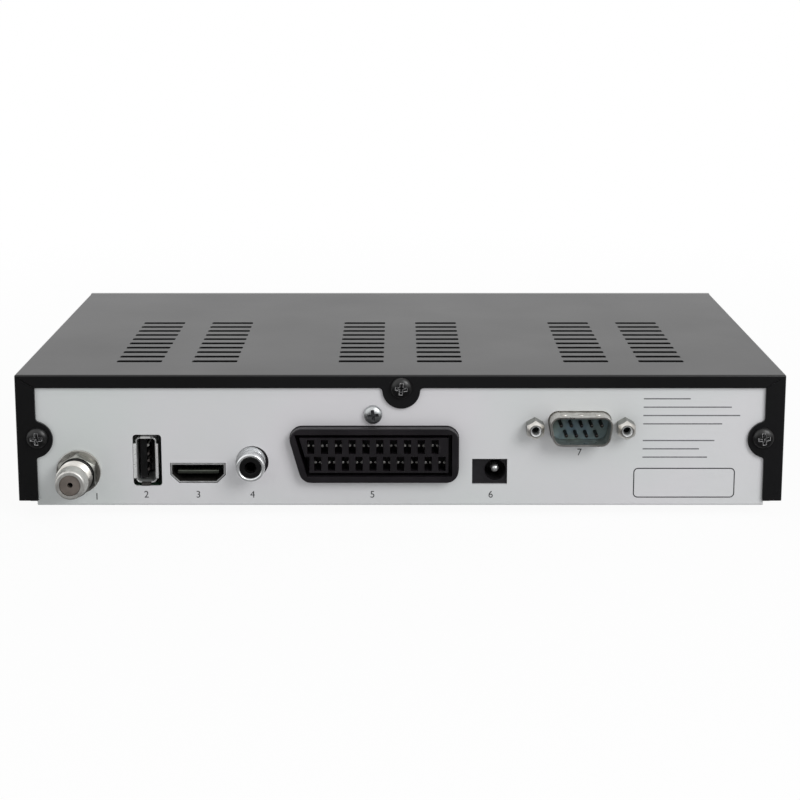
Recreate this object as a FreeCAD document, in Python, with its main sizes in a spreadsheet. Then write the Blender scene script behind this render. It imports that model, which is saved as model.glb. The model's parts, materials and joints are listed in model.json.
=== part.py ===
"""Satellite television receiver: a steel set-top case with its rear sockets, boards and front keys.

Millimetres. +Z is up, +X runs along the width, the keys face -Y and the sockets face +Y.
The origin lies in the plane that the feet stand on, under the middle of the whole receiver.
"""
import FreeCAD, Part
import math
import os
import re

import Sketcher

SIZES = {
    # Whole case, without feet, keys and sockets
    "case_width": 212.0,
    "case_depth": 115.0,
    "case_height": 37.6,
    # Rubber feet, inset from the case's sides and ends
    "foot_radius": 6.0,
    "foot_height": 3.0,
    "foot_edge": 0.6,
    "foot_side_inset": 18.0,
    "foot_end_inset": 21.0,
    # Steel tray: floor, low sides and front wall. The rear panel's bottom flange is lapped by its rear strip
    "tray_steel": 0.8,
    "tray_gap": 0.8,
    "tray_wall": 14.0,
    "tray_bend": 0.8,
    "tray_front": 35.0,
    "corner_relief": 2.0,
    "panel_flange_depth": 4.0,
    "lap_depth": 3.0,
    "panel_lap": 0.4,
    "panel_gap": 0.2,
    # Steel cover with a rear flange and three screw tabs
    "cover_steel": 0.8,
    "cover_bend": 0.5,
    "cover_lift": 1.7,
    "flange_side": 5.4,
    "flange_top": 3.7,
    "mitre_gap": 0.15,
    "mitre_setback": 1.6,
    "tab_radius": 5.2,
    "tab_blend": 1.0,
    "tab_side_inset": 4.8,
    "tab_side_height": 19.2,
    "tab_top_drop": 4.3,
    "tab_top_shift": 7.8,
    # Groups of cooling slots, in the cover and in the floor
    "slot_length": 12.8,
    "slot_width": 2.3,
    "slot_corner": 0.5,
    "slot_pitch": 5.56,
    "slot_rows": 10,
    "slot_start": 15.9,
    "slot_inner_x": 11.1,
    "slot_middle_x": 52.65,
    "slot_outer_x": 74.0,
    "floor_slot_x": 37.0,
    "floor_slot_start": 32.0,
    # Screws that hold the cover, the sockets and the bezel
    "cover_screw_radius": 1.35,
    "cover_screw_head": 2.9,
    "cover_screw_side_inset": 5.8,
    "cover_screw_side_height": 19.8,
    "cover_screw_top_drop": 3.6,
    "small_screw_radius": 1.1,
    "small_screw_head": 2.6,
    "head_height": 1.8,
    "head_rim": 1.0,
    "crown_inset": 1.0,
    "recess_width": 0.9,
    "recess_length": 3.0,
    "recess_depth": 1.1,
    "screw_reach": 4.0,
    "thread_clearance": 0.05,
    "hole_clearance": 0.35,
    # Plastic front bezel
    "bezel_face": 2.5,
    "bezel_edge": 1.2,
    "skirt_depth": 12.0,
    "skirt_wall": 1.8,
    "skirt_gap": 0.2,
    "boss_radius": 2.6,
    "boss_side_inset": 6.2,
    "boss_low": 7.0,
    "boss_high": 29.0,
    "window_width": 96.0,
    "window_height": 17.0,
    "window_thickness": 1.5,
    "window_ledge": 1.5,
    "window_clearance": 0.15,
    # Front board, keys and their switches
    "front_board_inset": 12.0,
    "front_board_height": 29.6,
    "front_board_lift": 4.0,
    "front_board_space": 5.9,
    "front_screw_inset_x": 5.0,
    "front_screw_inset_z": 4.0,
    "key_level": 18.8,
    "key_radius": 5.5,
    "key_proud": 0.6,
    "key_clearance": 0.25,
    "key_flange": 1.0,
    "key_flange_width": 1.0,
    "key_stop_gap": 0.1,
    "key_stem": 2.0,
    "standby_inset": 22.0,
    "channel_up_inset": 36.0,
    "channel_down_inset": 18.0,
    "switch_size": 6.0,
    "switch_height": 3.4,
    "switch_bore": 2.0,
    "plunger_radius": 1.65,
    "plunger_clearance": 0.08,
    "plunger_proud": 0.9,
    "plunger_root": 1.0,
    "light_inset": 40.0,
    "light_radius": 1.5,
    "light_rim": 1.9,
    "light_clearance": 0.1,
    "display_x": -8.0,
    "display_width": 58.0,
    "display_height": 14.0,
    "display_gap": 0.5,
    "receiver_x": 36.0,
    "receiver_size": 6.0,
    "receiver_dome": 2.2,
    # Main board on its standoffs
    "board_width": 165.0,
    "board_depth": 84.0,
    "board_thickness": 1.6,
    "board_side_gap": 5.0,
    "board_rear_gap": 1.0,
    "socket_leg": 2.0,
    "standoff_height": 3.5,
    "standoff_radius": 2.6,
    "board_screw_radius": 1.4,
    "board_screw_gap": 0.4,
    "board_screw_inset": 5.0,
    "board_screw_rear_inset": 26.0,
    "board_screw_middle": -22.0,
    # Aerial connector and tuner. Every other rear socket is placed by its offset from the aerial connector
    "aerial_inset": 16.85,
    "aerial_height": 10.0,
    "aerial_reach": 13.0,
    "aerial_radius": 4.76,
    "aerial_root": 4.3,
    "aerial_relief": 0.3,
    "aerial_lip": 2.9,
    "aerial_round": 1.2,
    "aerial_recess": 0.3,
    "aerial_mouth": 0.75,
    "aerial_mouth_depth": 1.5,
    "aerial_contact": 1.15,
    "aerial_contact_bore": 0.5,
    "aerial_nut_flats": 10.0,
    "aerial_nut_height": 3.0,
    "aerial_washer": 6.15,
    "aerial_washer_height": 1.0,
    "nut_clearance": 0.05,
    "tuner_width": 23.0,
    "tuner_depth": 44.0,
    "tuner_height": 12.0,
    "tuner_wall": 0.5,
    # Upright data socket
    "data_offset": 18.57,
    "data_height": 13.08,
    "data_inner_width": 5.1,
    "data_inner_height": 12.4,
    "data_wall": 0.3,
    "data_lip_width": 6.9,
    "data_lip_height": 13.6,
    "data_lip_depth": 0.8,
    "data_flare": 0.5,
    "data_depth": 14.0,
    "data_tongue": 1.84,
    "data_tongue_shift": 0.85,
    "data_tongue_height": 11.1,
    "data_tongue_recess": 2.2,
    "data_block": 3.5,
    "data_gap_near": 0.1,
    "data_gap_far": 1.0,
    "data_gap_tall": 0.58,
    "data_hole_corner": 1.0,
    "data_contact_width": 1.0,
    "data_contact_inner": 1.0,
    "data_contact_outer": 3.5,
    # Video socket
    "video_offset": 33.0,
    "video_height": 9.47,
    "video_width": 15.0,
    "video_tall": 5.4,
    "video_side": 3.2,
    "video_base": 10.4,
    "video_wall": 0.35,
    "video_depth": 11.0,
    "video_gap": 0.2,
    "video_tongue_width": 11.5,
    "video_tongue": 1.1,
    "video_recess": 1.0,
    "video_block_width": 9.6,
    "video_block": 3.0,
    "video_pitch": 1.0,
    "contact_width": 0.45,
    "contact_thickness": 0.2,
    "contact_setback": 0.6,
    # Coaxial phono socket
    "phono_offset": 48.09,
    "phono_height": 12.65,
    "phono_radius": 4.0,
    "phono_bore": 3.0,
    "phono_reach": 5.8,
    "phono_recess": 0.2,
    "phono_gap": 0.55,
    "phono_insulator_gap": 0.05,
    "phono_pin_bore": 1.6,
    "phono_contact_wall": 0.5,
    "phono_contact_cover": 2.5,
    "phono_housing_width": 10.6,
    "phono_housing_top": 5.8,
    "phono_housing_depth": 12.0,
    "phono_pin_depth": 8.0,
    # Audio and video socket with a slanted end
    "av_offset": 81.42,
    "av_height": 15.08,
    "av_width": 47.65,
    "av_tall": 15.55,
    "av_slant": 4.4,
    "av_corner": 3.4,
    "av_reach": 2.5,
    "av_rim": 1.8,
    "av_groove": 1.0,
    "av_groove_depth": 9.0,
    "av_recess": 0.5,
    "av_gap": 0.2,
    "av_lap": 1.4,
    "av_body_depth": 18.0,
    "av_pitch": 3.81,
    "av_row_pitch": 4.8,
    "av_row_shift": -0.18,
    "av_slot_width": 2.0,
    "av_slot_height": 4.0,
    "av_slot_depth": 8.0,
    "av_end_slot_x": 17.9,
    "av_end_slot_width": 1.2,
    "av_contact_height": 1.4,
    "av_contact_recess": 1.2,
    "av_contact_thickness": 0.35,
    "av_screw_shift": -0.2,
    "av_screw_height": 26.3,
    "av_lug_width": 8.0,
    "av_lug_rise": 3.5,
    "av_lug_depth": 5.0,
    # Power socket
    "power_offset": 115.5,
    "power_height": 10.1,
    "power_window_shift": 1.55,
    "power_window_height": 9.88,
    "power_window_width": 9.75,
    "power_window_tall": 7.3,
    "power_bore": 3.0,
    "power_bore_depth": 10.0,
    "power_pin": 1.05,
    "power_pin_recess": 1.0,
    "power_body_left": 4.5,
    "power_body_right": 6.9,
    "power_body_tall": 11.0,
    "power_body_depth": 14.0,
    "power_spring": 0.4,
    # Serial socket
    "serial_offset": 138.75,
    "serial_height": 22.8,
    "serial_width": 18.0,
    "serial_tall": 8.3,
    "serial_lean": 10.0,
    "serial_corner": 2.6,
    "serial_wall": 0.5,
    "serial_gap": 0.3,
    "serial_reach": 5.5,
    "serial_flange_width": 30.8,
    "serial_flange_tall": 12.5,
    "serial_flange": 1.0,
    "serial_block_width": 19.2,
    "serial_block_tall": 10.6,
    "serial_block_depth": 9.0,
    "serial_pin": 0.5,
    "serial_pin_clearance": 0.02,
    "serial_pin_recess": 0.7,
    "serial_pin_tail": 1.0,
    "serial_pitch": 2.77,
    "serial_row_pitch": 2.84,
    "jack_spacing": 24.99,
    "jack_flats": 4.75,
    "jack_reach": 5.0,
    "jack_bore": 1.42,
    "jack_bore_depth": 4.5,
    "jack_stud": 1.4,
    "jack_stud_reach": 5.0,
    "riser_width": 34.0,
    "riser_above": 7.0,
    "riser_thickness": 1.6,
    "header_size": 2.54,
    "header_width": 22.0,
    # Flat ribbon between the boards
    "ribbon_offset": 1.5,
    "ribbon_inset": 16.0,
    "ribbon_width": 20.0,
    "ribbon_thickness": 1.0,
    "ribbon_level": 11.5,
    "ribbon_bend": 4.0,
    "ribbon_loop": 5.0,
    "plug_width": 24.0,
    "plug_thickness": 5.0,
    "plug_height": 6.0,
    "ribbon_window_margin": 2.0,
    # Parts on the main board
    "chip_size": 27.0,
    "chip_height": 1.8,
    "chip_offset": 5.5,
    "chip_inset": 36.9,
    "sink_size": 34.0,
    "sink_base": 2.5,
    "sink_height": 12.0,
    "fin_count": 8,
    "fin_thickness": 1.2,
    "memory_width": 9.0,
    "memory_length": 13.0,
    "memory_height": 1.1,
    "memory_offset": 33.5,
    "memory_pitch": 13.0,
    "flash_width": 5.0,
    "flash_length": 6.0,
    "flash_height": 1.7,
    "capacitor_radius": 4.0,
    "capacitor_height": 11.0,
    "capacitor_pitch": 10.5,
    "capacitor_offset": 64.5,
    "capacitor_inset": 42.9,
    "inductor_size": 10.0,
    "inductor_height": 5.0,
    "inductor_pitch": 13.0,
    "crystal_length": 11.0,
    "crystal_width": 4.6,
    "crystal_height": 3.5,
    "crystal_offset": 20.5,
}

# Places that follow from the sizes, each written in the names above it
DERIVED = {
    "front_y": "key_proud - (key_proud + case_depth - cover_steel + aerial_reach) / 2",
    "rear_y": "front_y + case_depth",
    "panel_y": "rear_y - cover_steel",
    "panel_back": "panel_y - tray_steel",
    "tray_z": "foot_height",
    "floor_z": "tray_z + tray_steel",
    "top_z": "tray_z + case_height",
    "ceiling_z": "top_z - cover_steel",
    "cover_z": "tray_z + cover_lift",
    "half_width": "case_width / 2",
    "tray_side": "half_width - cover_steel - tray_gap",
    "panel_half": "half_width - flange_side + panel_lap",
    "panel_top": "ceiling_z - panel_gap",
    "bezel_back": "front_y + bezel_face",
    "skirt_end": "front_y + skirt_depth",
    "wall_back": "skirt_end + tray_steel",
    "front_board_y": "bezel_back + front_board_space",
    "front_board_back": "front_board_y + board_thickness",
    "front_board_z": "tray_z + front_board_lift",
    "front_board_width": "2 * (half_width - front_board_inset)",
    "standby_x": "-(half_width - standby_inset)",
    "channel_up_x": "half_width - channel_up_inset",
    "channel_down_x": "half_width - channel_down_inset",
    "light_x": "-(half_width - light_inset)",
    "switch_y": "front_board_y - switch_height",
    "plunger_y": "switch_y - plunger_proud",
    "key_z": "tray_z + key_level",
    "key_back": "bezel_back + key_stop_gap + key_flange",
    "board_z": "floor_z + standoff_height + board_thickness",
    "board_rear": "panel_back - board_rear_gap",
    "board_y": "board_rear - board_depth",
    "board_x": "half_width - board_side_gap - board_width / 2",
    "tab_side_x": "half_width - tab_side_inset",
    "tab_side_z": "tray_z + tab_side_height",
    "tab_top_x": "av_screw_x - tab_top_shift",
    "tab_top_z": "top_z - tab_top_drop",
    "cover_screw_x": "half_width - cover_screw_side_inset",
    "cover_screw_side_z": "tray_z + cover_screw_side_height",
    "cover_screw_top_z": "top_z - cover_screw_top_drop",
    "aerial_x": "half_width - aerial_inset",
    "aerial_z": "tray_z + aerial_height",
    "aerial_tip": "panel_y + aerial_reach",
    "data_x": "aerial_x - data_offset",
    "data_z": "tray_z + data_height",
    "data_back": "panel_y - data_depth",
    "video_x": "aerial_x - video_offset",
    "video_z": "tray_z + video_height",
    "video_back": "panel_y - video_depth",
    "phono_x": "aerial_x - phono_offset",
    "phono_z": "tray_z + phono_height",
    "phono_tip": "panel_y + phono_reach",
    "av_x": "aerial_x - av_offset",
    "av_z": "tray_z + av_height",
    "av_front": "panel_y + av_reach",
    "av_screw_x": "av_x + av_screw_shift",
    "av_screw_z": "tray_z + av_screw_height",
    "power_x": "aerial_x - power_offset",
    "power_z": "tray_z + power_height",
    "power_window_x": "power_x + power_window_shift",
    "power_window_z": "tray_z + power_window_height",
    "serial_x": "aerial_x - serial_offset",
    "serial_z": "tray_z + serial_height",
    "serial_back": "panel_back - serial_flange - serial_block_depth",
    "ribbon_x": "board_x + ribbon_offset",
    "ribbon_z": "tray_z + ribbon_level",
    "ribbon_start": "front_board_back + plug_height",
    "ribbon_drop": "board_y + ribbon_inset",
    "ribbon_rise": "ribbon_drop - 2 * ribbon_loop",
    "ribbon_turn": "ribbon_rise - ribbon_bend",
    "chip_x": "board_x + chip_offset",
    "chip_y": "board_y + chip_inset",
    "memory_x": "board_x + memory_offset",
    "capacitor_x": "board_x - capacitor_offset",
    "capacitor_y": "board_y + capacitor_inset",
    "crystal_x": "board_x - crystal_offset",
    "plug_top": "board_z + plug_height",
    "cover_pilot": "cover_screw_radius + thread_clearance",
    "small_pilot": "small_screw_radius + thread_clearance",
    "small_hole": "small_screw_radius + hole_clearance",
}

MARGIN = 1.0           # how far a through cut runs past the faces it opens
AXIS_LINE = 10.0       # length drawn for a turning axis
NORMAL = {"XY": 1, "XZ": -1, "YZ": 1}
DIRECTION = {"X": FreeCAD.Vector(1, 0, 0), "Y": FreeCAD.Vector(0, 1, 0), "Z": FreeCAD.Vector(0, 0, 1)}

DOC = FreeCAD.newDocument("receiver")
SHEET = DOC.addObject("Spreadsheet::Sheet", "Sizes")
NODES = {}


# ---------------------------------------------------------------- sizes and formulas

def fill_sheet():
    """Write every driving size into the sheet under its own name."""
    for row, (name, size) in enumerate(SIZES.items(), 1):
        SHEET.set(f"A{row}", name)
        SHEET.set(f"B{row}", str(size))
        SHEET.setAlias(f"B{row}", name)
    DOC.recompute()


def expand(text, prefix):
    """Replace the derived names in a formula, and put a prefix before the sheet's own names."""
    def swap(match):
        word = match.group(0)
        if word in DERIVED:
            return "(" + expand(DERIVED[word], prefix) + ")"
        return prefix + word if word in SIZES else word
    return re.sub(r"[a-z][a-z_]*", swap, str(text))


def formula(text):
    """Return a formula as an expression that other objects can hold."""
    return expand(text, "Sizes.")


def value(text):
    """Return the number that a formula gives now."""
    return float(SHEET.evalExpression(expand(text, "")))


def about(centre, width):
    """Return the span of a width centred on a place."""
    return f"({centre}) - ({width}) / 2", f"({centre}) + ({width}) / 2"


def after(start, length):
    """Return the span that starts at a place."""
    return f"{start}", f"({start}) + ({length})"


def before(end, length):
    """Return the span that ends at a place."""
    return f"({end}) - ({length})", f"{end}"


def node(label, made):
    """Name a finished sub-part and keep it for the hand-over."""
    made.Label = label
    NODES[label] = made
    return made


# ---------------------------------------------------------------- sketched outlines

def pin_point(sketch, geometry, point, x, y):
    """Tie one point of a sketch to formulas for its two coordinates."""
    for kind, text in (("DistanceX", x), ("DistanceY", y)):
        index = sketch.addConstraint(Sketcher.Constraint(kind, -1, 1, geometry, point, value(text)))
        sketch.setExpression(f"Constraints[{index}]", formula(text))


def tie_radius(sketch, geometry, radius):
    """Tie the radius of a circle or an arc to a formula."""
    index = sketch.addConstraint(Sketcher.Constraint("Radius", geometry, value(radius)))
    sketch.setExpression(f"Constraints[{index}]", formula(radius))


def vector(x, y):
    """Return a sketch point at the present value of two formulas."""
    return FreeCAD.Vector(value(x), value(y), 0)


class Outline:
    """A closed outline of straight lines between corners given as formulas."""

    def __init__(self, *corners):
        self.corners = corners

    def draw(self, sketch):
        """Draw the outline into a sketch."""
        spots = [vector(x, y) for x, y in self.corners]
        lines = [sketch.addGeometry(Part.LineSegment(spot, spots[(k + 1) % len(spots)]), False)
                 for k, spot in enumerate(spots)]
        for k, line in enumerate(lines):
            following = lines[(k + 1) % len(lines)]
            sketch.addConstraint(Sketcher.Constraint("Coincident", line, 2, following, 1))
        for line, (x, y) in zip(lines, self.corners):
            pin_point(sketch, line, 1, x, y)


class Circle:
    """A circle whose centre and radius are formulas."""

    def __init__(self, x, y, radius):
        self.x, self.y, self.radius = x, y, radius

    def draw(self, sketch):
        """Draw the circle into a sketch."""
        centre = vector(self.x, self.y)
        made = sketch.addGeometry(Part.Circle(centre, FreeCAD.Vector(0, 0, 1), value(self.radius)), False)
        pin_point(sketch, made, 3, self.x, self.y)
        tie_radius(sketch, made, self.radius)


class RoundedBox:
    """A rectangle with equal round corners, centred on a point."""

    def __init__(self, x, y, width, height, radius):
        self.x, self.y, self.width, self.height, self.radius = x, y, width, height, radius

    def draw(self, sketch):
        """Draw four corner arcs and the four lines that run into them."""
        across = f"(({self.width}) / 2 - ({self.radius}))"
        up = f"(({self.height}) / 2 - ({self.radius}))"
        radius = value(self.radius)
        arcs = []
        for quarter, (side, level) in enumerate((("+", "+"), ("-", "+"), ("-", "-"), ("+", "-"))):
            x, y = f"({self.x}) {side} {across}", f"({self.y}) {level} {up}"
            start = math.radians(quarter * 90)
            round_edge = Part.Circle(vector(x, y), FreeCAD.Vector(0, 0, 1), radius)
            arc = Part.ArcOfCircle(round_edge, start, start + math.radians(90))
            arcs.append(sketch.addGeometry(arc, False))
            pin_point(sketch, arcs[-1], 3, x, y)
        tie_radius(sketch, arcs[0], self.radius)
        for arc in arcs[1:]:
            sketch.addConstraint(Sketcher.Constraint("Equal", arcs[0], arc))
        for k, arc in enumerate(arcs):
            following = arcs[(k + 1) % 4]
            ends = [sketch.getPoint(arc, 2), sketch.getPoint(following, 1)]
            line = sketch.addGeometry(Part.LineSegment(*ends), False)
            sketch.addConstraint(Sketcher.Constraint("Tangent", arc, 2, line, 1))
            sketch.addConstraint(Sketcher.Constraint("Tangent", line, 2, following, 1))


def rectangle(x_span, y_span):
    """Return a rectangular outline between two pairs of places."""
    (left, right), (low, high) = x_span, y_span
    return Outline((left, low), (right, low), (right, high), (left, high))


# ---------------------------------------------------------------- bodies and their features

def new_body():
    """Return an empty body."""
    return DOC.addObject("PartDesign::Body", "Body")


def origin_part(body, role):
    """Return one of a body's own origin planes or axes."""
    return next(part for part in body.Origin.OriginFeatures if part.Role == role)


def new_sketch(body, plane, level, shapes):
    """Draw shapes in a plane of the body, at a place along the plane's normal axis."""
    sketch = body.newObject("Sketcher::SketchObject", "Sketch")
    sketch.AttachmentSupport = [(origin_part(body, plane + "_Plane"), "")]
    sketch.MapMode = "FlatFace"
    sign = "" if NORMAL[plane] > 0 else "-"
    sketch.setExpression("AttachmentOffset.Base.z", formula(f"{sign}({level})"))
    for shape in shapes:
        shape.draw(sketch)
    return sketch


def extrude(body, plane, span, *shapes, cut=False):
    """Pad shapes over a span along the plane's normal axis, or cut them out of the body."""
    low, high = span
    start = low if (NORMAL[plane] > 0) != cut else high
    sketch = new_sketch(body, plane, start, shapes)
    before_volume = body.Shape.Volume if cut else 0.0
    made = body.newObject("PartDesign::Pocket" if cut else "PartDesign::Pad", "Cut" if cut else "Pad")
    made.Profile = sketch
    made.setExpression("Length", formula(f"({high}) - ({low})"))
    DOC.recompute()
    if cut and not body.Shape.Volume < before_volume:
        raise RuntimeError(f"a cut in {body.Name} removed nothing")
    return made


def through(low, high):
    """Return a span that runs past both of its ends."""
    return f"({low}) - {MARGIN}", f"({high}) + {MARGIN}"


def edge_spots(body, axis, spots=None, inside=None):
    """Name the straight edges along an axis, at given places across it or where a test holds."""
    names = []
    across = [letter for letter in "XYZ" if letter != axis]
    near = None if spots is None else [tuple(value(text) for text in spot) for spot in spots]
    for index, edge in enumerate(body.Tip.Shape.Edges, 1):
        if not isinstance(edge.Curve, Part.Line) or abs(edge.Curve.Direction.dot(DIRECTION[axis])) < 0.999:
            continue
        middle = edge.CenterOfMass
        first, second = (middle["XYZ".index(letter)] for letter in across)
        if near is not None and not any(abs(first - a) + abs(second - b) < 0.01 for a, b in near):
            continue
        if inside is None or inside(middle):
            names.append(f"Edge{index}")
    return names


def fillet(body, radius, *edge_names):
    """Round the named edges of the body's last feature."""
    base = body.Tip
    made = body.newObject("PartDesign::Fillet", "Round")
    made.Base = (base, sum(edge_names, []))
    made.setExpression("Radius", formula(radius))
    DOC.recompute()
    return made


def turn(x, z, profile):
    """Turn a profile of (y, radius) corners about the line along Y through (x, z)."""
    body = new_body()
    corners = [(y, f"({z}) + ({radius})") for y, radius in profile]
    sketch = new_sketch(body, "YZ", x, [Outline(*corners)])
    first_y = profile[0][0]
    axis_end = f"({first_y}) + {AXIS_LINE}"
    line = Part.LineSegment(vector(first_y, z), vector(axis_end, z))
    axis = sketch.addGeometry(line, True)
    pin_point(sketch, axis, 1, first_y, z)
    pin_point(sketch, axis, 2, axis_end, z)
    made = body.newObject("PartDesign::Revolution", "Turned")
    made.Profile = sketch
    made.ReferenceAxis = (sketch, ["Axis0"])
    made.Angle = 360
    DOC.recompute()
    return body


# ---------------------------------------------------------------- primitives and booleans

def bind(made, **formulas):
    """Tie properties of an object to formulas."""
    for name, text in formulas.items():
        made.setExpression(name, formula(text))


def place(made, x, y, z):
    """Tie an object's place to formulas."""
    for letter, text in zip("xyz", (x, y, z)):
        made.setExpression(f"Placement.Base.{letter}", formula(text))


def box(x_span, y_span, z_span):
    """Return a block between three pairs of places."""
    made = DOC.addObject("Part::Box", "Block")
    sizes = [f"({high}) - ({low})" for low, high in (x_span, y_span, z_span)]
    bind(made, Length=sizes[0], Width=sizes[1], Height=sizes[2])
    place(made, x_span[0], y_span[0], z_span[0])
    return made


def lay_along(made, axis, at, low):
    """Turn a round primitive along an axis and set its low end; at gives the other two places."""
    made.Placement.Rotation = FreeCAD.Rotation(DIRECTION["Z"], DIRECTION[axis])
    spot = list(at)
    spot.insert("XYZ".index(axis), low)
    place(made, *spot)


def rod(axis, at, span, radius):
    """Return a cylinder along an axis."""
    low, high = span
    made = DOC.addObject("Part::Cylinder", "Rod")
    bind(made, Radius=radius, Height=f"({high}) - ({low})")
    lay_along(made, axis, at, low)
    return made


def cone(axis, at, span, low_radius, high_radius):
    """Return a cone along an axis, from one radius to another."""
    low, high = span
    made = DOC.addObject("Part::Cone", "Cone")
    bind(made, Radius1=low_radius, Radius2=high_radius, Height=f"({high}) - ({low})")
    lay_along(made, axis, at, low)
    return made


def hexagon(at, span, flats):
    """Return a hexagonal bar along Y with a corner pointing up."""
    low, high = span
    made = DOC.addObject("Part::Prism", "Hexagon")
    made.Polygon = 6
    bind(made, Circumradius=f"({flats}) / sqrt(3)", Height=f"({high}) - ({low})")
    made.Placement.Rotation = (FreeCAD.Rotation(DIRECTION["Z"], DIRECTION["Y"])
                               * FreeCAD.Rotation(DIRECTION["Z"], 90))
    place(made, at[0], low, at[1])
    return made


def fuse(*pieces):
    """Return pieces joined into one solid."""
    made = DOC.addObject("Part::MultiFuse", "Joined")
    made.Shapes = list(pieces)
    return made


def cut(base, *tools):
    """Return a base with every tool taken out of it."""
    made = DOC.addObject("Part::Cut", "Remainder")
    made.Base = base
    made.Tool = tools[0] if len(tools) == 1 else group(*tools)
    return made


def group(*pieces):
    """Return pieces kept together as separate solids."""
    made = DOC.addObject("Part::Compound", "Group")
    made.Links = list(pieces)
    return made


def tube(axis, at, span, outer, inner):
    """Return a round tube along an axis."""
    return cut(rod(axis, at, span, outer), rod(axis, at, through(*span), inner))


def cross_screw(axis, at, seat, radius, head, reach):
    """Return a cross-recess pan-head screw whose head sits at a seat and faces along the axis."""
    shoulder = f"({seat}) + head_rim"
    top = f"({seat}) + head_height"
    shank = rod(axis, at, before(seat, reach), radius)
    rim = rod(axis, at, (seat, shoulder), head)
    dome = cone(axis, at, (shoulder, top), head, f"({head}) - crown_inset")
    depth = before(f"({top}) + {MARGIN}", f"recess_depth + {MARGIN}")
    arms = []
    for widths in (("recess_length", "recess_width"), ("recess_width", "recess_length")):
        spans = [about(centre, width) for centre, width in zip(at, widths)]
        spans.insert("XYZ".index(axis), depth)
        arms.append(box(*spans))
    return cut(fuse(shank, rim, dome), fuse(*arms))


# ---------------------------------------------------------------- outlines shared by sockets and panel

def video_outline(inset):
    """Return the video socket's outline: wide at the top, with its lower corners cut off."""
    mitre = f"({inset}) * tan(22.5)"
    wide = f"(video_width / 2 - ({inset}))"
    narrow = f"(video_base / 2 - {mitre})"
    top = f"video_z + video_tall / 2 - ({inset})"
    knee = f"video_z + video_tall / 2 - video_side + {mitre}"
    low = f"video_z - video_tall / 2 + ({inset})"
    return Outline((f"video_x - {wide}", top), (f"video_x - {wide}", knee), (f"video_x - {narrow}", low),
                   (f"video_x + {narrow}", low), (f"video_x + {wide}", knee), (f"video_x + {wide}", top))


def av_outline(inset):
    """Return the slanted outline of the audio and video socket, drawn in by an inset."""
    lean = f"(({inset}) * sqrt(av_tall * av_tall + av_slant * av_slant) / av_tall)"
    shift = f"(av_slant * ({inset}) / av_tall)"
    right = f"av_x - av_width / 2 + ({inset})"
    top_left = f"av_x + av_width / 2 - {shift} - {lean}"
    low_left = f"av_x + av_width / 2 - av_slant + {shift} - {lean}"
    top, low = f"av_z + av_tall / 2 - ({inset})", f"av_z - av_tall / 2 + ({inset})"
    return Outline((right, low), (low_left, low), (top_left, top), (right, top))


def serial_outline(inset):
    """Return the serial socket's outline, narrower at the bottom, drawn in by an inset."""
    lean = f"(({inset}) / cos(serial_lean))"
    wide = f"(serial_width / 2 - ({inset}) * tan(serial_lean) - {lean})"
    narrow = f"(serial_width / 2 - (serial_tall - ({inset})) * tan(serial_lean) - {lean})"
    top, low = f"serial_z + serial_tall / 2 - ({inset})", f"serial_z - serial_tall / 2 + ({inset})"
    return Outline((f"serial_x - {narrow}", low), (f"serial_x + {narrow}", low),
                   (f"serial_x + {wide}", top), (f"serial_x - {wide}", top))


def jack_places():
    """Return the X places of the two jackscrews."""
    return [f"serial_x {side} jack_spacing / 2" for side in "-+"]


# ---------------------------------------------------------------- case

def slot_group_places():
    """Return the X places of the six columns of cooling slots."""
    columns = ("slot_inner_x", "slot_middle_x", "slot_outer_x")
    return [f"{side} {column}" for column in columns for side in "-+"]


def base_tray():
    """Bent steel tray: floor with cooling slots, low sides, front wall and a strip lapped over the panel."""
    body = new_body()
    inner = "tray_side - tray_steel"
    seam = "panel_y - panel_flange_depth"
    profile = Outline(("-tray_side", "tray_z"), ("tray_side", "tray_z"),
                      ("tray_side", "tray_z + tray_wall"), (inner, "tray_z + tray_wall"), (inner, "floor_z"),
                      (f"-({inner})", "floor_z"), (f"-({inner})", "tray_z + tray_wall"),
                      ("-tray_side", "tray_z + tray_wall"))
    extrude(body, "XZ", ("skirt_end", seam), profile)
    front = rectangle(about("0", "2 * tray_side"), after("tray_z", "tray_front"))
    extrude(body, "XZ", ("skirt_end", "wall_back"), front)
    strip = rectangle(about("0", "2 * (panel_half - tray_steel)"), (f"{seam} - lap_depth", "panel_back"))
    extrude(body, "XY", after("floor_z", "tray_steel"), strip)
    fillet(body, "tray_bend", edge_spots(body, "Y", [("tray_side", "tray_z"), ("-tray_side", "tray_z")]))

    wall_openings = [rectangle(about("ribbon_x", "plug_width + 2 * ribbon_window_margin"),
                               about("ribbon_z", "plug_thickness + 2 * ribbon_window_margin"))]
    wall_openings += [Circle(x, z, "small_hole") for x, z in bezel_boss_places()]
    extrude(body, "XZ", through("skirt_end", "wall_back"), *wall_openings, cut=True)

    slots = [RoundedBox(f"{side} floor_slot_x", "rear_y - floor_slot_start",
                        "slot_length", "slot_width", "slot_corner") for side in "-+"]
    first = extrude(body, "XY", through("tray_z", "floor_z"), *slots, cut=True)
    repeat_rows(body, first)
    return node("base_tray", body)


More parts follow.
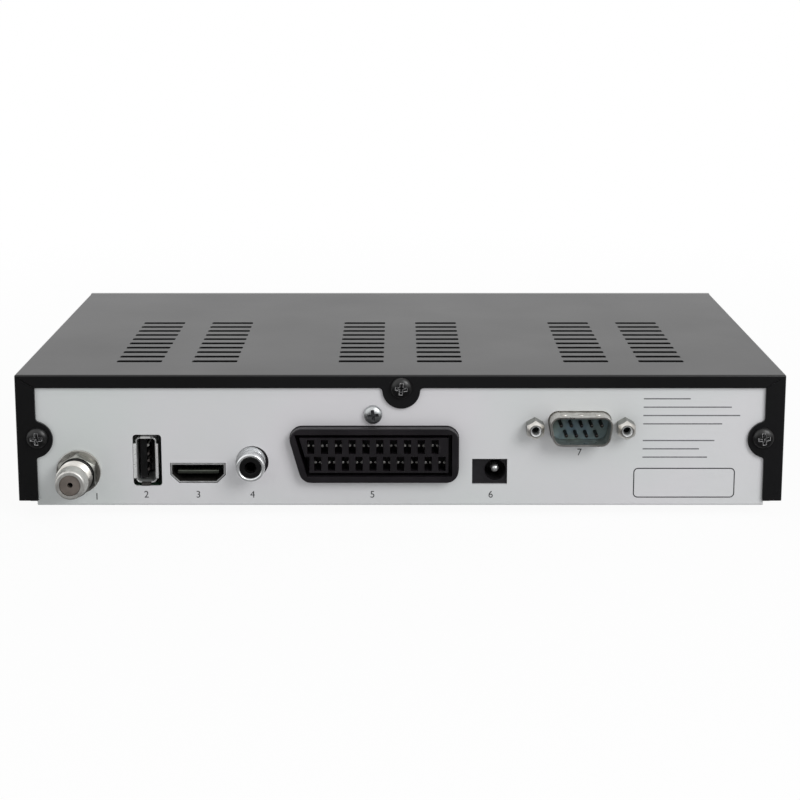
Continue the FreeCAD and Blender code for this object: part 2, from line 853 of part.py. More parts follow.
def rear_panel():
    """Upright steel panel with every socket's opening, and a short flange bent under the tray's strip."""
    body = new_body()
    notch = "tray_z + corner_relief"
    panel = Outline(("-panel_half", "tray_z"), ("panel_half", "tray_z"), ("panel_half", notch),
                    ("tray_side", notch), ("tray_side", "panel_top"), ("-tray_side", "panel_top"),
                    ("-tray_side", notch), ("-panel_half", notch))
    extrude(body, "XZ", ("panel_back", "panel_y"), panel)
    flange = rectangle(about("0", "2 * panel_half"), before("panel_y", "panel_flange_depth"))
    extrude(body, "XY", ("tray_z", "floor_z"), flange)
    fillet(body, "tray_bend", edge_spots(body, "X", [("panel_y", "tray_z")]))

    openings = [
        Circle("aerial_x", "aerial_z", "aerial_radius + hole_clearance"),
        RoundedBox("data_x - (data_gap_far - data_gap_near) / 2", "data_z",
                   "data_lip_width + data_gap_near + data_gap_far",
                   "data_lip_height + 2 * data_gap_tall", "data_hole_corner"),
        video_outline("-video_gap"),
        Circle("phono_x", "phono_z", "phono_radius + phono_gap"),
        av_outline("-av_gap"),
        Circle("av_screw_x", "av_screw_z", "small_hole"),
        rectangle(about("power_window_x", "power_window_width"),
                  about("power_window_z", "power_window_tall")),
        serial_outline("-serial_gap"),
        Circle("tab_top_x", "cover_screw_top_z", "cover_pilot"),
    ]
    openings += [Circle(f"{side} cover_screw_x", "cover_screw_side_z", "cover_pilot") for side in "-+"]
    openings += [Circle(x, "serial_z", "jack_stud + hole_clearance") for x in jack_places()]
    extrude(body, "XZ", through("panel_back", "panel_y"), *openings, cut=True)
    fillet(body, "av_corner + av_gap", edge_spots(body, "Y", av_outline("-av_gap").corners))
    fillet(body, "serial_corner + serial_gap",
           edge_spots(body, "Y", serial_outline("-serial_gap").corners))
    return node("rear_panel", body)


def repeat_rows(body, first):
    """Repeat a row of slots towards the front, one slot pitch apart."""
    rows = body.newObject("PartDesign::LinearPattern", "Rows")
    rows.Originals = [first]
    rows.Direction = (origin_part(body, "Y_Axis"), [""])
    rows.Reversed = True
    bind(rows, Length="(slot_rows - 1) * slot_pitch", Occurrences="slot_rows")
    body.Tip = rows
    DOC.recompute()


def top_cover():
    """Bent steel cover: top, two sides, and a rear flange with three screw tabs."""
    body = new_body()
    inner = "half_width - cover_steel"
    shell = Outline(("-half_width", "cover_z"), ("-half_width", "top_z"), ("half_width", "top_z"),
                    ("half_width", "cover_z"), (inner, "cover_z"), (inner, "ceiling_z"),
                    (f"-({inner})", "ceiling_z"), (f"-({inner})", "cover_z"))
    extrude(body, "XZ", ("bezel_back", "rear_y"), shell)
    reach = "half_width - flange_side"
    drop = "top_z - flange_top"
    flange = Outline(("-half_width", "cover_z"), ("-half_width", "top_z"), ("half_width", "top_z"),
                     ("half_width", "cover_z"), (reach, "cover_z"), (reach, drop),
                     (f"-({reach})", drop), (f"-({reach})", "cover_z"))
    extrude(body, "XZ", ("panel_y", "rear_y"), flange)
    for x, z in (("tab_top_x", "tab_top_z"), ("tab_side_x", "tab_side_z"), ("-tab_side_x", "tab_side_z")):
        extrude(body, "XZ", ("panel_y", "rear_y"), Circle(x, z, "tab_radius"))
    extrude(body, "XZ", through("panel_y", "rear_y"),
            rectangle(about("tab_top_x", "3 * tab_radius"), after("top_z", "tab_radius")),
            rectangle(after("half_width", "tab_radius"), about("tab_side_z", "3 * tab_radius")),
            rectangle(before("-half_width", "tab_radius"), about("tab_side_z", "3 * tab_radius")), cut=True)

    rise = "sqrt(tab_radius * tab_radius - (half_width - flange_side - tab_side_x) ^ 2)"
    spread = "sqrt(tab_radius * tab_radius - (tab_top_drop - flange_top) ^ 2)"
    inner_corners = [(f"{side} ({reach})", f"tab_side_z {level} {rise}") for side in "-+" for level in "-+"]
    inner_corners += [(f"tab_top_x {side} {spread}", drop) for side in "-+"]
    fillet(body, "tab_blend", edge_spots(body, "Y", inner_corners))
    fillet(body, "cover_bend",
           edge_spots(body, "Y", [("half_width", "top_z"), ("-half_width", "top_z")]),
           edge_spots(body, "X", [("rear_y", "top_z")]),
           edge_spots(body, "Z", [("half_width", "rear_y"), ("-half_width", "rear_y")]))

    holes = [Circle(x, z, "cover_screw_radius + hole_clearance") for x, z in cover_screw_places()]
    mitres = [mitre_slit(side) for side in "-+"]
    extrude(body, "XZ", ("panel_y - cover_steel / 2", f"rear_y + {MARGIN}"), *holes, *mitres, cut=True)
    slots = [RoundedBox(x, "rear_y - slot_start", "slot_length", "slot_width", "slot_corner")
             for x in slot_group_places()]
    first = extrude(body, "XY", through("ceiling_z", "top_z"), *slots, cut=True)
    repeat_rows(body, first)
    return node("top_cover", body)


def mitre_slit(side):
    """Return the thin slit where the top and side flanges meet at an upper corner."""
    ends = ["flange_side + mitre_gap", "mitre_setback"]
    low, high = ([(f"{side} (half_width - ({inset}))",
                   f"top_z - ({inset}) * flange_top / flange_side {level} mitre_gap / 2") for inset in ends]
                 for level in "-+")
    return Outline(*low, *reversed(high))


def cover_screw_places():
    """Return where the cover's three screws enter the rear panel."""
    return [("tab_top_x", "cover_screw_top_z"), ("cover_screw_x", "cover_screw_side_z"),
            ("-cover_screw_x", "cover_screw_side_z")]


def cover_screws():
    """The three screws that hold the cover to the rear panel."""
    return node("cover_screws", group(*[
        cross_screw("Y", spot, "rear_y", "cover_screw_radius", "cover_screw_head",
                    "cover_steel + tray_steel + screw_reach") for spot in cover_screw_places()]))


def feet():
    """Four rubber feet under the tray."""
    pieces = []
    for x in ("-(half_width - foot_side_inset)", "half_width - foot_side_inset"):
        for y in ("front_y + foot_end_inset", "rear_y - foot_end_inset"):
            edge = cone("Z", (x, y), ("0", "foot_edge"), "foot_radius - foot_edge", "foot_radius")
            pad = rod("Z", (x, y), ("foot_edge", "foot_height"), "foot_radius")
            pieces.append(fuse(edge, pad))
    return node("feet", group(*pieces))


# ---------------------------------------------------------------- front

KEYS = {"standby": "standby_x", "channel_up": "channel_up_x", "channel_down": "channel_down_x"}


def bezel_boss_places():
    """Return the four bosses by which the bezel is screwed to the tray's front wall."""
    return [(f"{side} (half_width - boss_side_inset)", f"tray_z + {level}")
            for side in "-+" for level in ("boss_low", "boss_high")]


def front_screw_places():
    """Return the four screws that hold the front board to the bezel."""
    low = "front_board_z + front_screw_inset_z"
    high = "front_board_z + front_board_height - front_screw_inset_z"
    return [(f"{side} (front_board_width / 2 - front_screw_inset_x)", level)
            for side in "-+" for level in (low, high)]


def front_bezel():
    """Moulded plastic front: a face, a skirt inside the cover, and screw bosses."""
    body = new_body()
    extrude(body, "XZ", ("front_y", "bezel_back"), rectangle(about("0", "case_width"), ("tray_z", "top_z")))
    fillet(body, "bezel_edge",
           edge_spots(body, "X", [("front_y", "tray_z"), ("front_y", "top_z")]),
           edge_spots(body, "Z", [("half_width", "front_y"), ("-half_width", "front_y")]))
    side = "half_width - cover_steel - skirt_gap"
    roof = "ceiling_z - skirt_gap"
    extrude(body, "XZ", ("bezel_back", "skirt_end"),
            rectangle(about("0", f"2 * ({side})"), ("tray_z", roof)),
            rectangle(about("0", f"2 * ({side} - skirt_wall)"),
                      ("tray_z + skirt_wall", f"{roof} - skirt_wall")))
    extrude(body, "XZ", ("bezel_back", "front_board_y"),
            *[Circle(x, z, "boss_radius") for x, z in front_screw_places()])
    extrude(body, "XZ", ("bezel_back", "skirt_end"),
            *[Circle(x, z, "boss_radius") for x, z in bezel_boss_places()])
    extrude(body, "XZ", (f"front_y - {MARGIN}", "front_y + window_thickness"),
            rectangle(about("0", "window_width"), about("key_z", "window_height")), cut=True)
    light_hole = Circle("light_x", "key_z", "light_radius + light_clearance")
    key_holes = [Circle(x, "key_z", "key_radius + key_clearance") for x in KEYS.values()]
    ledge = rectangle(about("0", "window_width - 2 * window_ledge"),
                      about("key_z", "window_height - 2 * window_ledge"))
    extrude(body, "XZ", through("front_y", "bezel_back"), ledge, light_hole, *key_holes, cut=True)
    extrude(body, "XZ", ("bezel_back", f"front_board_y + {MARGIN}"),
            *[Circle(x, z, "small_pilot") for x, z in front_screw_places()], cut=True)
    extrude(body, "XZ", ("bezel_back", f"skirt_end + {MARGIN}"),
            *[Circle(x, z, "small_pilot") for x, z in bezel_boss_places()], cut=True)
    return node("front_bezel", body)


def display_window():
    """Smoked window that sits in the bezel's recess."""
    return node("display_window", box(about("0", "window_width - 2 * window_clearance"),
                                      ("front_y", "front_y + window_thickness"),
                                      about("key_z", "window_height - 2 * window_clearance")))


def front_board():
    """Upright circuit board behind the bezel."""
    plate = box(about("0", "front_board_width"), after("front_board_y", "board_thickness"),
                after("front_board_z", "front_board_height"))
    holes = [rod("Y", spot, through("front_board_y", "front_board_back"), "small_hole")
             for spot in front_screw_places()]
    return node("front_board", cut(plate, *holes))


def front_screws():
    """Screws of the front board, and screws that hold the bezel to the tray."""
    reach = "board_thickness + screw_reach"
    node("front_board_screws", group(*[
        cross_screw("Y", spot, "front_board_back", "small_screw_radius", "small_screw_head", reach)
        for spot in front_screw_places()]))
    return node("bezel_screws", group(*[
        cross_screw("Y", spot, "wall_back", "small_screw_radius", "small_screw_head",
                    "tray_steel + screw_reach") for spot in bezel_boss_places()]))


def keys():
    """Three sprung keys: caps, the plungers they press, and the fixed switch bodies."""
    switches = []
    for name, x in KEYS.items():
        spot = (x, "key_z")
        cap = rod("Y", spot, ("front_y - key_proud", "key_back"), "key_radius")
        stop = rod("Y", spot, before("key_back", "key_flange"), "key_radius + key_flange_width")
        stem = rod("Y", spot, ("key_back", "plunger_y"), "key_stem")
        node(f"{name}_button", fuse(cap, stop, stem))
        node(f"{name}_plunger", rod("Y", spot, ("plunger_y", "switch_y + plunger_root"), "plunger_radius"))
        body = box(about(x, "switch_size"), ("switch_y", "front_board_y"), about("key_z", "switch_size"))
        bore = rod("Y", spot, (f"switch_y - {MARGIN}", "switch_y + switch_bore"),
                   "plunger_radius + plunger_clearance")
        switches.append(cut(body, bore))
    return node("key_switches", group(*switches))


def display_parts():
    """Numeral display, infrared receiver and standby light on the front board."""
    node("display_module", box(about("display_x", "display_width"),
                               ("bezel_back + display_gap", "front_board_y"),
                               about("key_z", "display_height")))
    lens_y = "front_board_y - receiver_size / 2"
    case = box(about("receiver_x", "receiver_size"), (lens_y, "front_board_y"),
               about("key_z", "receiver_size"))
    lens = rod("X", (lens_y, "key_z"), about("receiver_x", "receiver_size / 2"), "receiver_dome")
    node("infrared_receiver", fuse(case, lens))
    rim = rod("Y", ("light_x", "key_z"), ("front_board_y - light_rim", "front_board_y"), "light_rim")
    barrel = rod("Y", ("light_x", "key_z"), ("front_y + light_radius", "front_board_y"), "light_radius")
    dome = DOC.addObject("Part::Sphere", "Dome")
    bind(dome, Radius="light_radius")
    place(dome, "light_x", "front_y + light_radius", "key_z")
    return node("standby_light", fuse(rim, barrel, dome))


# ---------------------------------------------------------------- main board

def board_screw_places():
    """Return the six screw places of the main board."""
    left = "board_x - board_width / 2 + board_screw_inset"
    middle = "board_x + board_screw_middle"
    right = "board_x + board_width / 2 - board_screw_inset"
    beside_tuner = "aerial_x - tuner_width / 2 - board_screw_inset"
    rear = "board_y + board_depth - board_screw_rear_inset"
    return ([(x, "board_y + board_screw_inset") for x in (left, middle, right)]
            + [(x, rear) for x in (left, middle, beside_tuner)])


def main_board():
    """Circuit board that carries the sockets, with its standoffs and screws."""
    plate = box(about("board_x", "board_width"), after("board_y", "board_depth"),
                before("board_z", "board_thickness"))
    spots = board_screw_places()
    holes = [rod("Z", spot, through("board_z - board_thickness", "board_z"),
                 "board_screw_radius + hole_clearance") for spot in spots]
    node("main_board", cut(plate, *holes))
    node("board_standoffs", group(*[
        tube("Z", spot, after("floor_z", "standoff_height"), "standoff_radius",
             "board_screw_radius + thread_clearance") for spot in spots]))
    return node("board_screws", group(*[
        cross_screw("Z", spot, "board_z", "board_screw_radius", "small_screw_head",
                    "board_thickness + standoff_height - board_screw_gap") for spot in spots]))


def tuner():
    """Screened tuner box and the threaded aerial connector that passes through the panel."""
    spot = ("aerial_x", "aerial_z")
    skin = box(about("aerial_x", "tuner_width"), before("panel_back", "tuner_depth"),
               after("board_z", "tuner_height"))
    hollow = box(about("aerial_x", "tuner_width - 2 * tuner_wall"),
                 ("panel_back - tuner_depth + tuner_wall", "panel_back - tuner_wall"),
                 (f"board_z - {MARGIN}", "board_z + tuner_height - tuner_wall"))
    door = rod("Y", spot, before(f"panel_back + {MARGIN}", f"3 * tuner_wall + {MARGIN}"), "aerial_lip")
    node("tuner_case", cut(skin, hollow, door))

    nut_front = "(panel_y + aerial_washer_height + aerial_nut_height)"
    thread_start = f"({nut_front} + aerial_relief)"
    node("aerial_barrel", turn("aerial_x", "aerial_z", [
        ("panel_back", "aerial_lip"), ("panel_back", "aerial_root"), (thread_start, "aerial_root"),
        (thread_start, "aerial_radius"), ("aerial_tip - aerial_round", "aerial_radius"),
        ("aerial_tip", "aerial_radius - aerial_round"), ("aerial_tip", "aerial_lip")]))
    washer = after("panel_y", "aerial_washer_height")
    nut = (washer[1], nut_front)
    node("aerial_washer", tube("Y", spot, washer, "aerial_washer", "aerial_radius + nut_clearance"))
    node("aerial_nut", cut(hexagon(spot, nut, "aerial_nut_flats"),
                           rod("Y", spot, through(*nut), "aerial_root + nut_clearance")))
    face = "(aerial_tip - aerial_recess)"
    step = f"({face} - aerial_mouth_depth)"
    node("aerial_insulator", turn("aerial_x", "aerial_z", [
        ("panel_back", "aerial_contact + nut_clearance"), ("panel_back", "aerial_lip - nut_clearance"),
        (face, "aerial_lip - nut_clearance"), (face, "aerial_mouth"), (step, "aerial_mouth"),
        (step, "aerial_contact + nut_clearance")]))
    return node("aerial_contact", tube("Y", spot, ("panel_back - 3 * tuner_wall", step), "aerial_contact",
                                       "aerial_contact_bore"))


def data_socket():
    """Upright data socket: flared steel shell, tongue and four contacts."""
    outer_width = "data_inner_width + 2 * data_wall"
    outer_height = "data_inner_height + 2 * data_wall"
    body = new_body()
    extrude(body, "XZ", ("data_back", "panel_y"),
            rectangle(about("data_x", outer_width), about("data_z", outer_height)))
    extrude(body, "XZ", before("panel_y", "data_lip_depth"),
            rectangle(about("data_x", "data_lip_width"), about("data_z", "data_lip_height")))
    mouth = rectangle(about("data_x", "data_inner_width"), about("data_z", "data_inner_height"))
    extrude(body, "XZ", through("data_back", "panel_y"), mouth, cut=True)
    low = "data_z - data_inner_height / 2 - data_wall"
    for rear in ("data_back", "board_rear - socket_leg"):
        leg = rectangle(about("data_x", outer_width), after(rear, "socket_leg"))
        extrude(body, "XY", ("board_z", low), leg)
    base = body.Tip
    flare = body.newObject("PartDesign::Chamfer", "Flare")
    flare.Base = (base, [f"Edge{index}" for index, edge in enumerate(base.Shape.Edges, 1)
                         if is_mouth_edge(edge)])
    bind(flare, Size="data_flare")
    DOC.recompute()
    node("data_socket_shell", body)

    centre = "data_x + data_tongue_shift"
    plate = box(about(centre, "data_tongue"), ("data_back", "panel_y - data_tongue_recess"),
                about("data_z", "data_tongue_height"))
    block = box(about("data_x", "data_inner_width"), after("data_back", "data_block"),
                about("data_z", "data_inner_height"))
    node("data_socket_tongue", fuse(plate, block))
    strip_x = before(f"{centre} - data_tongue / 2", "contact_thickness")
    offsets = [f"{side} {row}" for side in "-+" for row in ("data_contact_outer", "data_contact_inner")]
    return node("data_socket_contacts", group(*[
        box(strip_x, ("data_back + data_block", "panel_y - data_tongue_recess - contact_setback"),
            about(f"data_z {offset}", "data_contact_width")) for offset in offsets]))


def is_mouth_edge(edge):
    """Tell whether an edge belongs to the inner rim of the data socket's mouth."""
    middle = edge.CenterOfMass
    x, z = abs(middle.x - value("data_x")), abs(middle.z - value("data_z"))
    half_width, half_height = value("data_inner_width / 2"), value("data_inner_height / 2")
    on_rim = (abs(x - half_width) < 0.01 and z < 0.01) or (abs(z - half_height) < 0.01 and x < 0.01)
    return on_rim and abs(middle.y - value("panel_y")) < 0.01


def video_socket():
    """Flat video socket: steel shell, tongue and two rows of contacts."""
    body = new_body()
    extrude(body, "XZ", ("video_back", "panel_y"), video_outline("0"))
    extrude(body, "XZ", through("video_back", "panel_y"), video_outline("video_wall"), cut=True)
    low = "video_z - video_tall / 2 + video_wall / 2"
    for rear in ("video_back", "board_rear - socket_leg"):
        extrude(body, "XY", ("board_z", low),
                rectangle(about("video_x", "video_base - 2 * video_wall"), after(rear, "socket_leg")))
    node("video_socket_shell", body)
    plate = box(about("video_x", "video_tongue_width"), ("video_back", "panel_y - video_recess"),
                about("video_z", "video_tongue"))
    block = box(about("video_x", "video_block_width"), after("video_back", "video_block"),
                about("video_z", "video_tall - 2 * video_wall"))
    node("video_socket_tongue", fuse(plate, block))
    along = ("video_back + video_block", "panel_y - video_recess - contact_setback")
    strips = []
    for count, level in ((10, after("video_z + video_tongue / 2", "contact_thickness")),
                         (9, before("video_z - video_tongue / 2", "contact_thickness"))):
        for k in range(count):
            centre = f"video_x + {k - (count - 1) / 2} * video_pitch"
            strips.append(box(about(centre, "contact_width"), along, level))
    return node("video_socket_contacts", group(*strips))


def phono_socket():
    """Coaxial socket: chrome barrel, black insulator, centre contact and moulded housing."""
    spot = ("phono_x", "phono_z")
    housing = box(about("phono_x", "phono_housing_width"), before("panel_back", "phono_housing_depth"),
                  ("board_z", "phono_z + phono_housing_top"))
    pin_way = rod("Y", spot, ("panel_back - phono_pin_depth", f"panel_back + {MARGIN}"), "phono_pin_bore")
    node("phono_housing", cut(housing, pin_way))
    node("phono_barrel", tube("Y", spot, ("panel_back", "phono_tip"), "phono_radius", "phono_bore"))
    outer = "phono_bore - phono_insulator_gap"
    contact = "phono_pin_bore + phono_contact_wall"
    step = "phono_tip - phono_contact_cover"
    plug = rod("Y", spot, ("panel_back", "phono_tip - phono_recess"), outer)
    bore = rod("Y", spot, through("panel_back", "phono_tip"), "phono_pin_bore")
    pocket = rod("Y", spot, (f"panel_back - {MARGIN}", step), f"{contact} + phono_insulator_gap")
    node("phono_insulator", cut(plug, bore, pocket))
    return node("phono_contact", tube("Y", spot, ("panel_back", step), contact, "phono_pin_bore"))


def av_slot_places():
    """Return the centres of the two rows of ten contact slots."""
    upper, lower = "av_z + av_row_pitch / 2", "av_z - av_row_pitch / 2"
    places = []
    for k in range(10):
        step = f"av_x + av_row_shift + {4.5 - k} * av_pitch"
        places += [(step, upper), (f"{step} - av_pitch / 2", lower)]
    return places


def av_socket():
    """Black audio and video socket with a slanted end, a groove for the plug and two rows of slots."""
    body = new_body()
    extrude(body, "XZ", ("panel_back", "av_front"), av_outline("0"))
    fillet(body, "av_corner", edge_spots(body, "Y", av_outline("0").corners))
    extrude(body, "XZ", before("panel_back", "av_body_depth"),
            rectangle(about("av_x", "av_width + 2 * av_lap"), ("board_z", "av_z + av_tall / 2 + av_lap")))
    extrude(body, "XZ", before("panel_back", "av_lug_depth"),
            rectangle(about("av_screw_x", "av_lug_width"), ("av_z", "av_screw_z + av_lug_rise")))
    block_face = "(av_front - av_recess)"
    extrude(body, "XZ", (block_face, f"av_front + {MARGIN}"), av_outline("av_rim"), cut=True)
    extrude(body, "XZ", ("av_front - av_groove_depth", f"av_front + {MARGIN}"),
            av_outline("av_rim"), av_outline("av_rim + av_groove"), cut=True)
    slots = [rectangle(about(x, "av_slot_width"), about(z, "av_slot_height")) for x, z in av_slot_places()]
    slots.append(rectangle(about("av_x + av_end_slot_x", "av_end_slot_width"),
                           about("av_z - av_row_pitch / 2", "av_slot_height")))
    extrude(body, "XZ", (f"{block_face} - av_slot_depth", f"av_front + {MARGIN}"), *slots, cut=True)
    pilot = Circle("av_screw_x", "av_screw_z", "small_pilot")
    extrude(body, "XZ", through("panel_back - av_lug_depth", "panel_back"), pilot, cut=True)
    node("av_socket_housing", body)

    along = (f"{block_face} - av_slot_depth", f"{block_face} - av_contact_recess")
    leaves = []
    for x, z in av_slot_places():
        for side, span in (("-", after(f"{x} - av_slot_width / 2", "av_contact_thickness")),
                           ("+", before(f"{x} + av_slot_width / 2", "av_contact_thickness"))):
            leaves.append(box(span, along, about(z, "av_contact_height")))
    node("av_socket_contacts", group(*leaves))
    screw = cross_screw("Y", ("av_screw_x", "av_screw_z"), "panel_y", "small_screw_radius",
                        "small_screw_head", "tray_steel + screw_reach")
    return node("socket_screw", screw)


def power_socket():
    """Low-voltage inlet behind its window: moulded body, centre pin and side spring."""
    spot = ("power_x", "power_z")
    body = box(("power_x - power_body_left", "power_x + power_body_right"),
               before("panel_back", "power_body_depth"), after("board_z", "power_body_tall"))
    bore = rod("Y", spot, before(f"panel_back + {MARGIN}", f"power_bore_depth + {MARGIN}"), "power_bore")
    spring_x = after("power_x + power_bore", "power_spring")
    spring_y = ("panel_back - power_bore_depth", "panel_back - 2 * power_pin_recess")
    slit = box(("power_x", spring_x[1]), spring_y, about("power_z", "2 * power_pin"))
    node("power_socket_housing", cut(body, bore, slit))
    node("power_socket_spring", box(spring_x, spring_y, about("power_z", "2 * power_pin")))
    return node("power_socket_pin", rod("Y", spot, ("panel_back - power_bore_depth",
                                                    "panel_back - power_pin_recess"), "power_pin"))


def serial_pin_places():
    """Return the nine pins of the serial socket, five above four."""
    places = []
    for count, level in ((5, "+"), (4, "-")):
        for k in range(count):
            places.append((f"serial_x + {k - (count - 1) / 2} * serial_pitch",
                           f"serial_z {level} serial_row_pitch / 2"))
    return places


def serial_socket():
    """Nine-pin serial socket on an upright riser board, held by two jackscrews."""
    front = "panel_y + serial_reach"
    flange_back = "panel_back - serial_flange"
    body = new_body()
    extrude(body, "XZ", (flange_back, front), serial_outline("0"))
    extrude(body, "XZ", (flange_back, "panel_back"),
            RoundedBox("serial_x", "serial_z", "serial_flange_width", "serial_flange_tall", "serial_wall"))
    extrude(body, "XZ", through(flange_back, front), serial_outline("serial_wall"), cut=True)
    fillet(body, "serial_corner - serial_wall",
           edge_spots(body, "Y", serial_outline("serial_wall").corners))
    fillet(body, "serial_corner", edge_spots(body, "Y", serial_outline("0").corners))
    extrude(body, "XZ", through(flange_back, "panel_back"),
            *[Circle(x, "serial_z", "jack_stud + hole_clearance") for x in jack_places()], cut=True)
    node("serial_socket_shell", body)

    core = new_body()
    fit = "serial_wall + nut_clearance"
    extrude(core, "XZ", (flange_back, "panel_y"), serial_outline(fit))
    fillet(core, "serial_corner - serial_wall", edge_spots(core, "Y", serial_outline(fit).corners))
    extrude(core, "XZ", ("serial_back", flange_back),
            rectangle(about("serial_x", "serial_block_width"), about("serial_z", "serial_block_tall")))
    pin_holes = [Circle(x, z, "serial_pin + serial_pin_clearance") for x, z in serial_pin_places()]
    extrude(core, "XZ", through("serial_back", "panel_y"), *pin_holes, cut=True)
    node("serial_socket_insulator", core)

    tail = "serial_back - riser_thickness - serial_pin_tail"
    point = f"{front} - serial_pin_recess"
    pins = []
    for spot in serial_pin_places():
        shaft = rod("Y", spot, (tail, f"{point} - serial_pin"), "serial_pin")
        tip = cone("Y", spot, (f"{point} - serial_pin", point), "serial_pin", "serial_pin / 2")
        pins.append(fuse(shaft, tip))
    node("serial_socket_pins", group(*pins))

    jacks = []
    for x in jack_places():
        spot = (x, "serial_z")
        head = hexagon(spot, after("panel_y", "jack_reach"), "jack_flats")
        stud = rod("Y", spot, before("panel_y", "jack_stud_reach"), "jack_stud")
        mouth = "panel_y + jack_reach"
        bore = rod("Y", spot, (f"{mouth} - jack_bore_depth", f"{mouth} + {MARGIN}"), "jack_bore")
        jacks.append(cut(fuse(head, stud), bore))
    return node("serial_jackscrews", group(*jacks))


def serial_riser():
    """Riser board that carries the serial socket above the main board, and its pin strip."""
    plate = box(about("serial_x", "riser_width"), before("serial_back", "riser_thickness"),
                ("board_z", "serial_z + riser_above"))
    holes = [rod("Y", spot, through("serial_back - riser_thickness", "serial_back"),
                 "serial_pin + serial_pin_clearance") for spot in serial_pin_places()]
    node("serial_riser_board", cut(plate, *holes))
    return node("serial_riser_header", box(about("serial_x", "header_width"),
                                           before("serial_back - riser_thickness", "header_size"),
                                           after("board_z", "header_size")))


def ribbon():
    """Flat ribbon that loops from the front board's plug into the main board's plug."""
    width = about("ribbon_x", "ribbon_width")
    half = "ribbon_thickness / 2"
    first = box(width, ("ribbon_start", "ribbon_turn"), about("ribbon_z", "ribbon_thickness"))
    rise_z = "(ribbon_z + ribbon_bend)"
    bend = ribbon_arc("ribbon_turn", rise_z, "ribbon_bend", -90, 90)
    loop = ribbon_arc("ribbon_rise + ribbon_loop", rise_z, "ribbon_loop", 0, 180)
    last = box(width, about("ribbon_drop", "ribbon_thickness"), ("plug_top", rise_z))
    node("ribbon_cable", fuse(first, bend, loop, last))
    front_plug = box(about("ribbon_x", "plug_width"), ("front_board_back", "ribbon_start"),
                     about("ribbon_z", "plug_thickness"))
    main_plug = box(about("ribbon_x", "plug_width"), about("ribbon_drop", "plug_thickness"),
                    ("board_z", "plug_top"))
    return node("ribbon_plugs", group(front_plug, main_plug))


def ribbon_arc(y, z, radius, start, sweep):
    """Return one bend of the ribbon about a line along X, from a start angle above +Y."""
    low, high = about("ribbon_x", "ribbon_width")
    rings = []
    for offset in ("+", "-"):
        made = DOC.addObject("Part::Cylinder", "Bend")
        made.Angle = sweep
        bind(made, Radius=f"{radius} {offset} ribbon_thickness / 2", Height=f"({high}) - ({low})")
        along_x = FreeCAD.Rotation(DIRECTION["Y"], DIRECTION["Z"], DIRECTION["X"], "ZXY")
        made.Placement.Rotation = FreeCAD.Rotation(DIRECTION["X"], start) * along_x
        place(made, low, y, z)
        rings.append(made)
    return cut(*rings)


def board_parts():
    """Processor under its heat sink, memories, capacitors, inductors and crystal."""
    on_board = ("board_z", "board_z + chip_height")
    node("processor_chip", box(about("chip_x", "chip_size"), about("chip_y", "chip_size"), on_board))
    base = box(about("chip_x", "sink_size"), about("chip_y", "sink_size"), after(on_board[1], "sink_base"))
    count = int(value("fin_count"))
    fins = []
    for k in range(count):
        centre = f"chip_x + {k - (count - 1) / 2} * (sink_size - fin_thickness) / (fin_count - 1)"
        fins.append(box(about(centre, "fin_thickness"), about("chip_y", "sink_size"),
                        after(on_board[1], "sink_height")))
    node("heat_sink", fuse(base, *fins))
    node("memory_chips", group(*[
        box(about(f"memory_x + {k} * memory_pitch", "memory_width"), about("chip_y", "memory_length"),
            after("board_z", "memory_height")) for k in range(2)]))
    flash_y = "chip_y - memory_length * 1.5"
    node("flash_chip", box(about("memory_x", "flash_width"), about(flash_y, "flash_length"),
                           after("board_z", "flash_height")))
    node("capacitors", group(*[
        rod("Z", (f"capacitor_x + {k % 3} * capacitor_pitch", f"capacitor_y - {k // 3} * capacitor_pitch"),
            after("board_z", "capacitor_height"), "capacitor_radius") for k in range(6)]))
    node("inductors", group(*[
        box(about(f"capacitor_x + {k} * inductor_pitch", "inductor_size"),
            about("capacitor_y - 3 * capacitor_pitch", "inductor_size"),
            after("board_z", "inductor_height")) for k in range(2)]))
    return node("crystal", box(about("crystal_x", "crystal_width"), about("chip_y", "crystal_length"),
                               after("board_z", "crystal_height")))


# ---------------------------------------------------------------- build and hand over

BUILDERS = [base_tray, rear_panel, top_cover, cover_screws, feet, front_bezel, display_window, front_board,
            front_screws, keys, display_parts, main_board, tuner, data_socket, video_socket, phono_socket,
            av_socket, power_socket, serial_socket, serial_riser, ribbon, board_parts]


def check_document():
    """Stop if any object failed or any sub-part has no sound shape."""
    failed = [made.Name for made in DOC.Objects if {"Invalid", "Error"} & set(made.State)]
    if failed:
        raise RuntimeError("failed objects: " + ", ".join(failed))
    for label, made in NODES.items():
        if made.Shape.isNull() or not made.Shape.isValid() or not made.Shape.Solids:
            raise RuntimeError("no sound shape: " + label)


def main():
    """Build every sub-part, check it and write it to its own file."""
    fill_sheet()
    for builder in BUILDERS:
        builder()
    DOC.recompute()
    check_document()
    os.makedirs("parts", exist_ok=True)
    for label, made in NODES.items():
        made.Shape.exportStep(f"parts/{label}.step")
        print(f"{label}: {len(made.Shape.Solids)} solids, {made.Shape.Volume:.1f} mm3")


main()
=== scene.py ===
"""Finishes, fine shapes, printing, light and camera of a small satellite television receiver.

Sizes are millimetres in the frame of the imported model: +X along the width, +Y towards the rear sockets,
+Z up. A piece takes its place from the node that it dresses or stands for, and becomes metres when its
mesh is made.
"""
from __future__ import annotations

import json
import logging
import math
from dataclasses import dataclass, field
from enum import Enum
from typing import Any, Callable, Iterable, Sequence

import bmesh
import bpy
from mathutils import Matrix, Vector

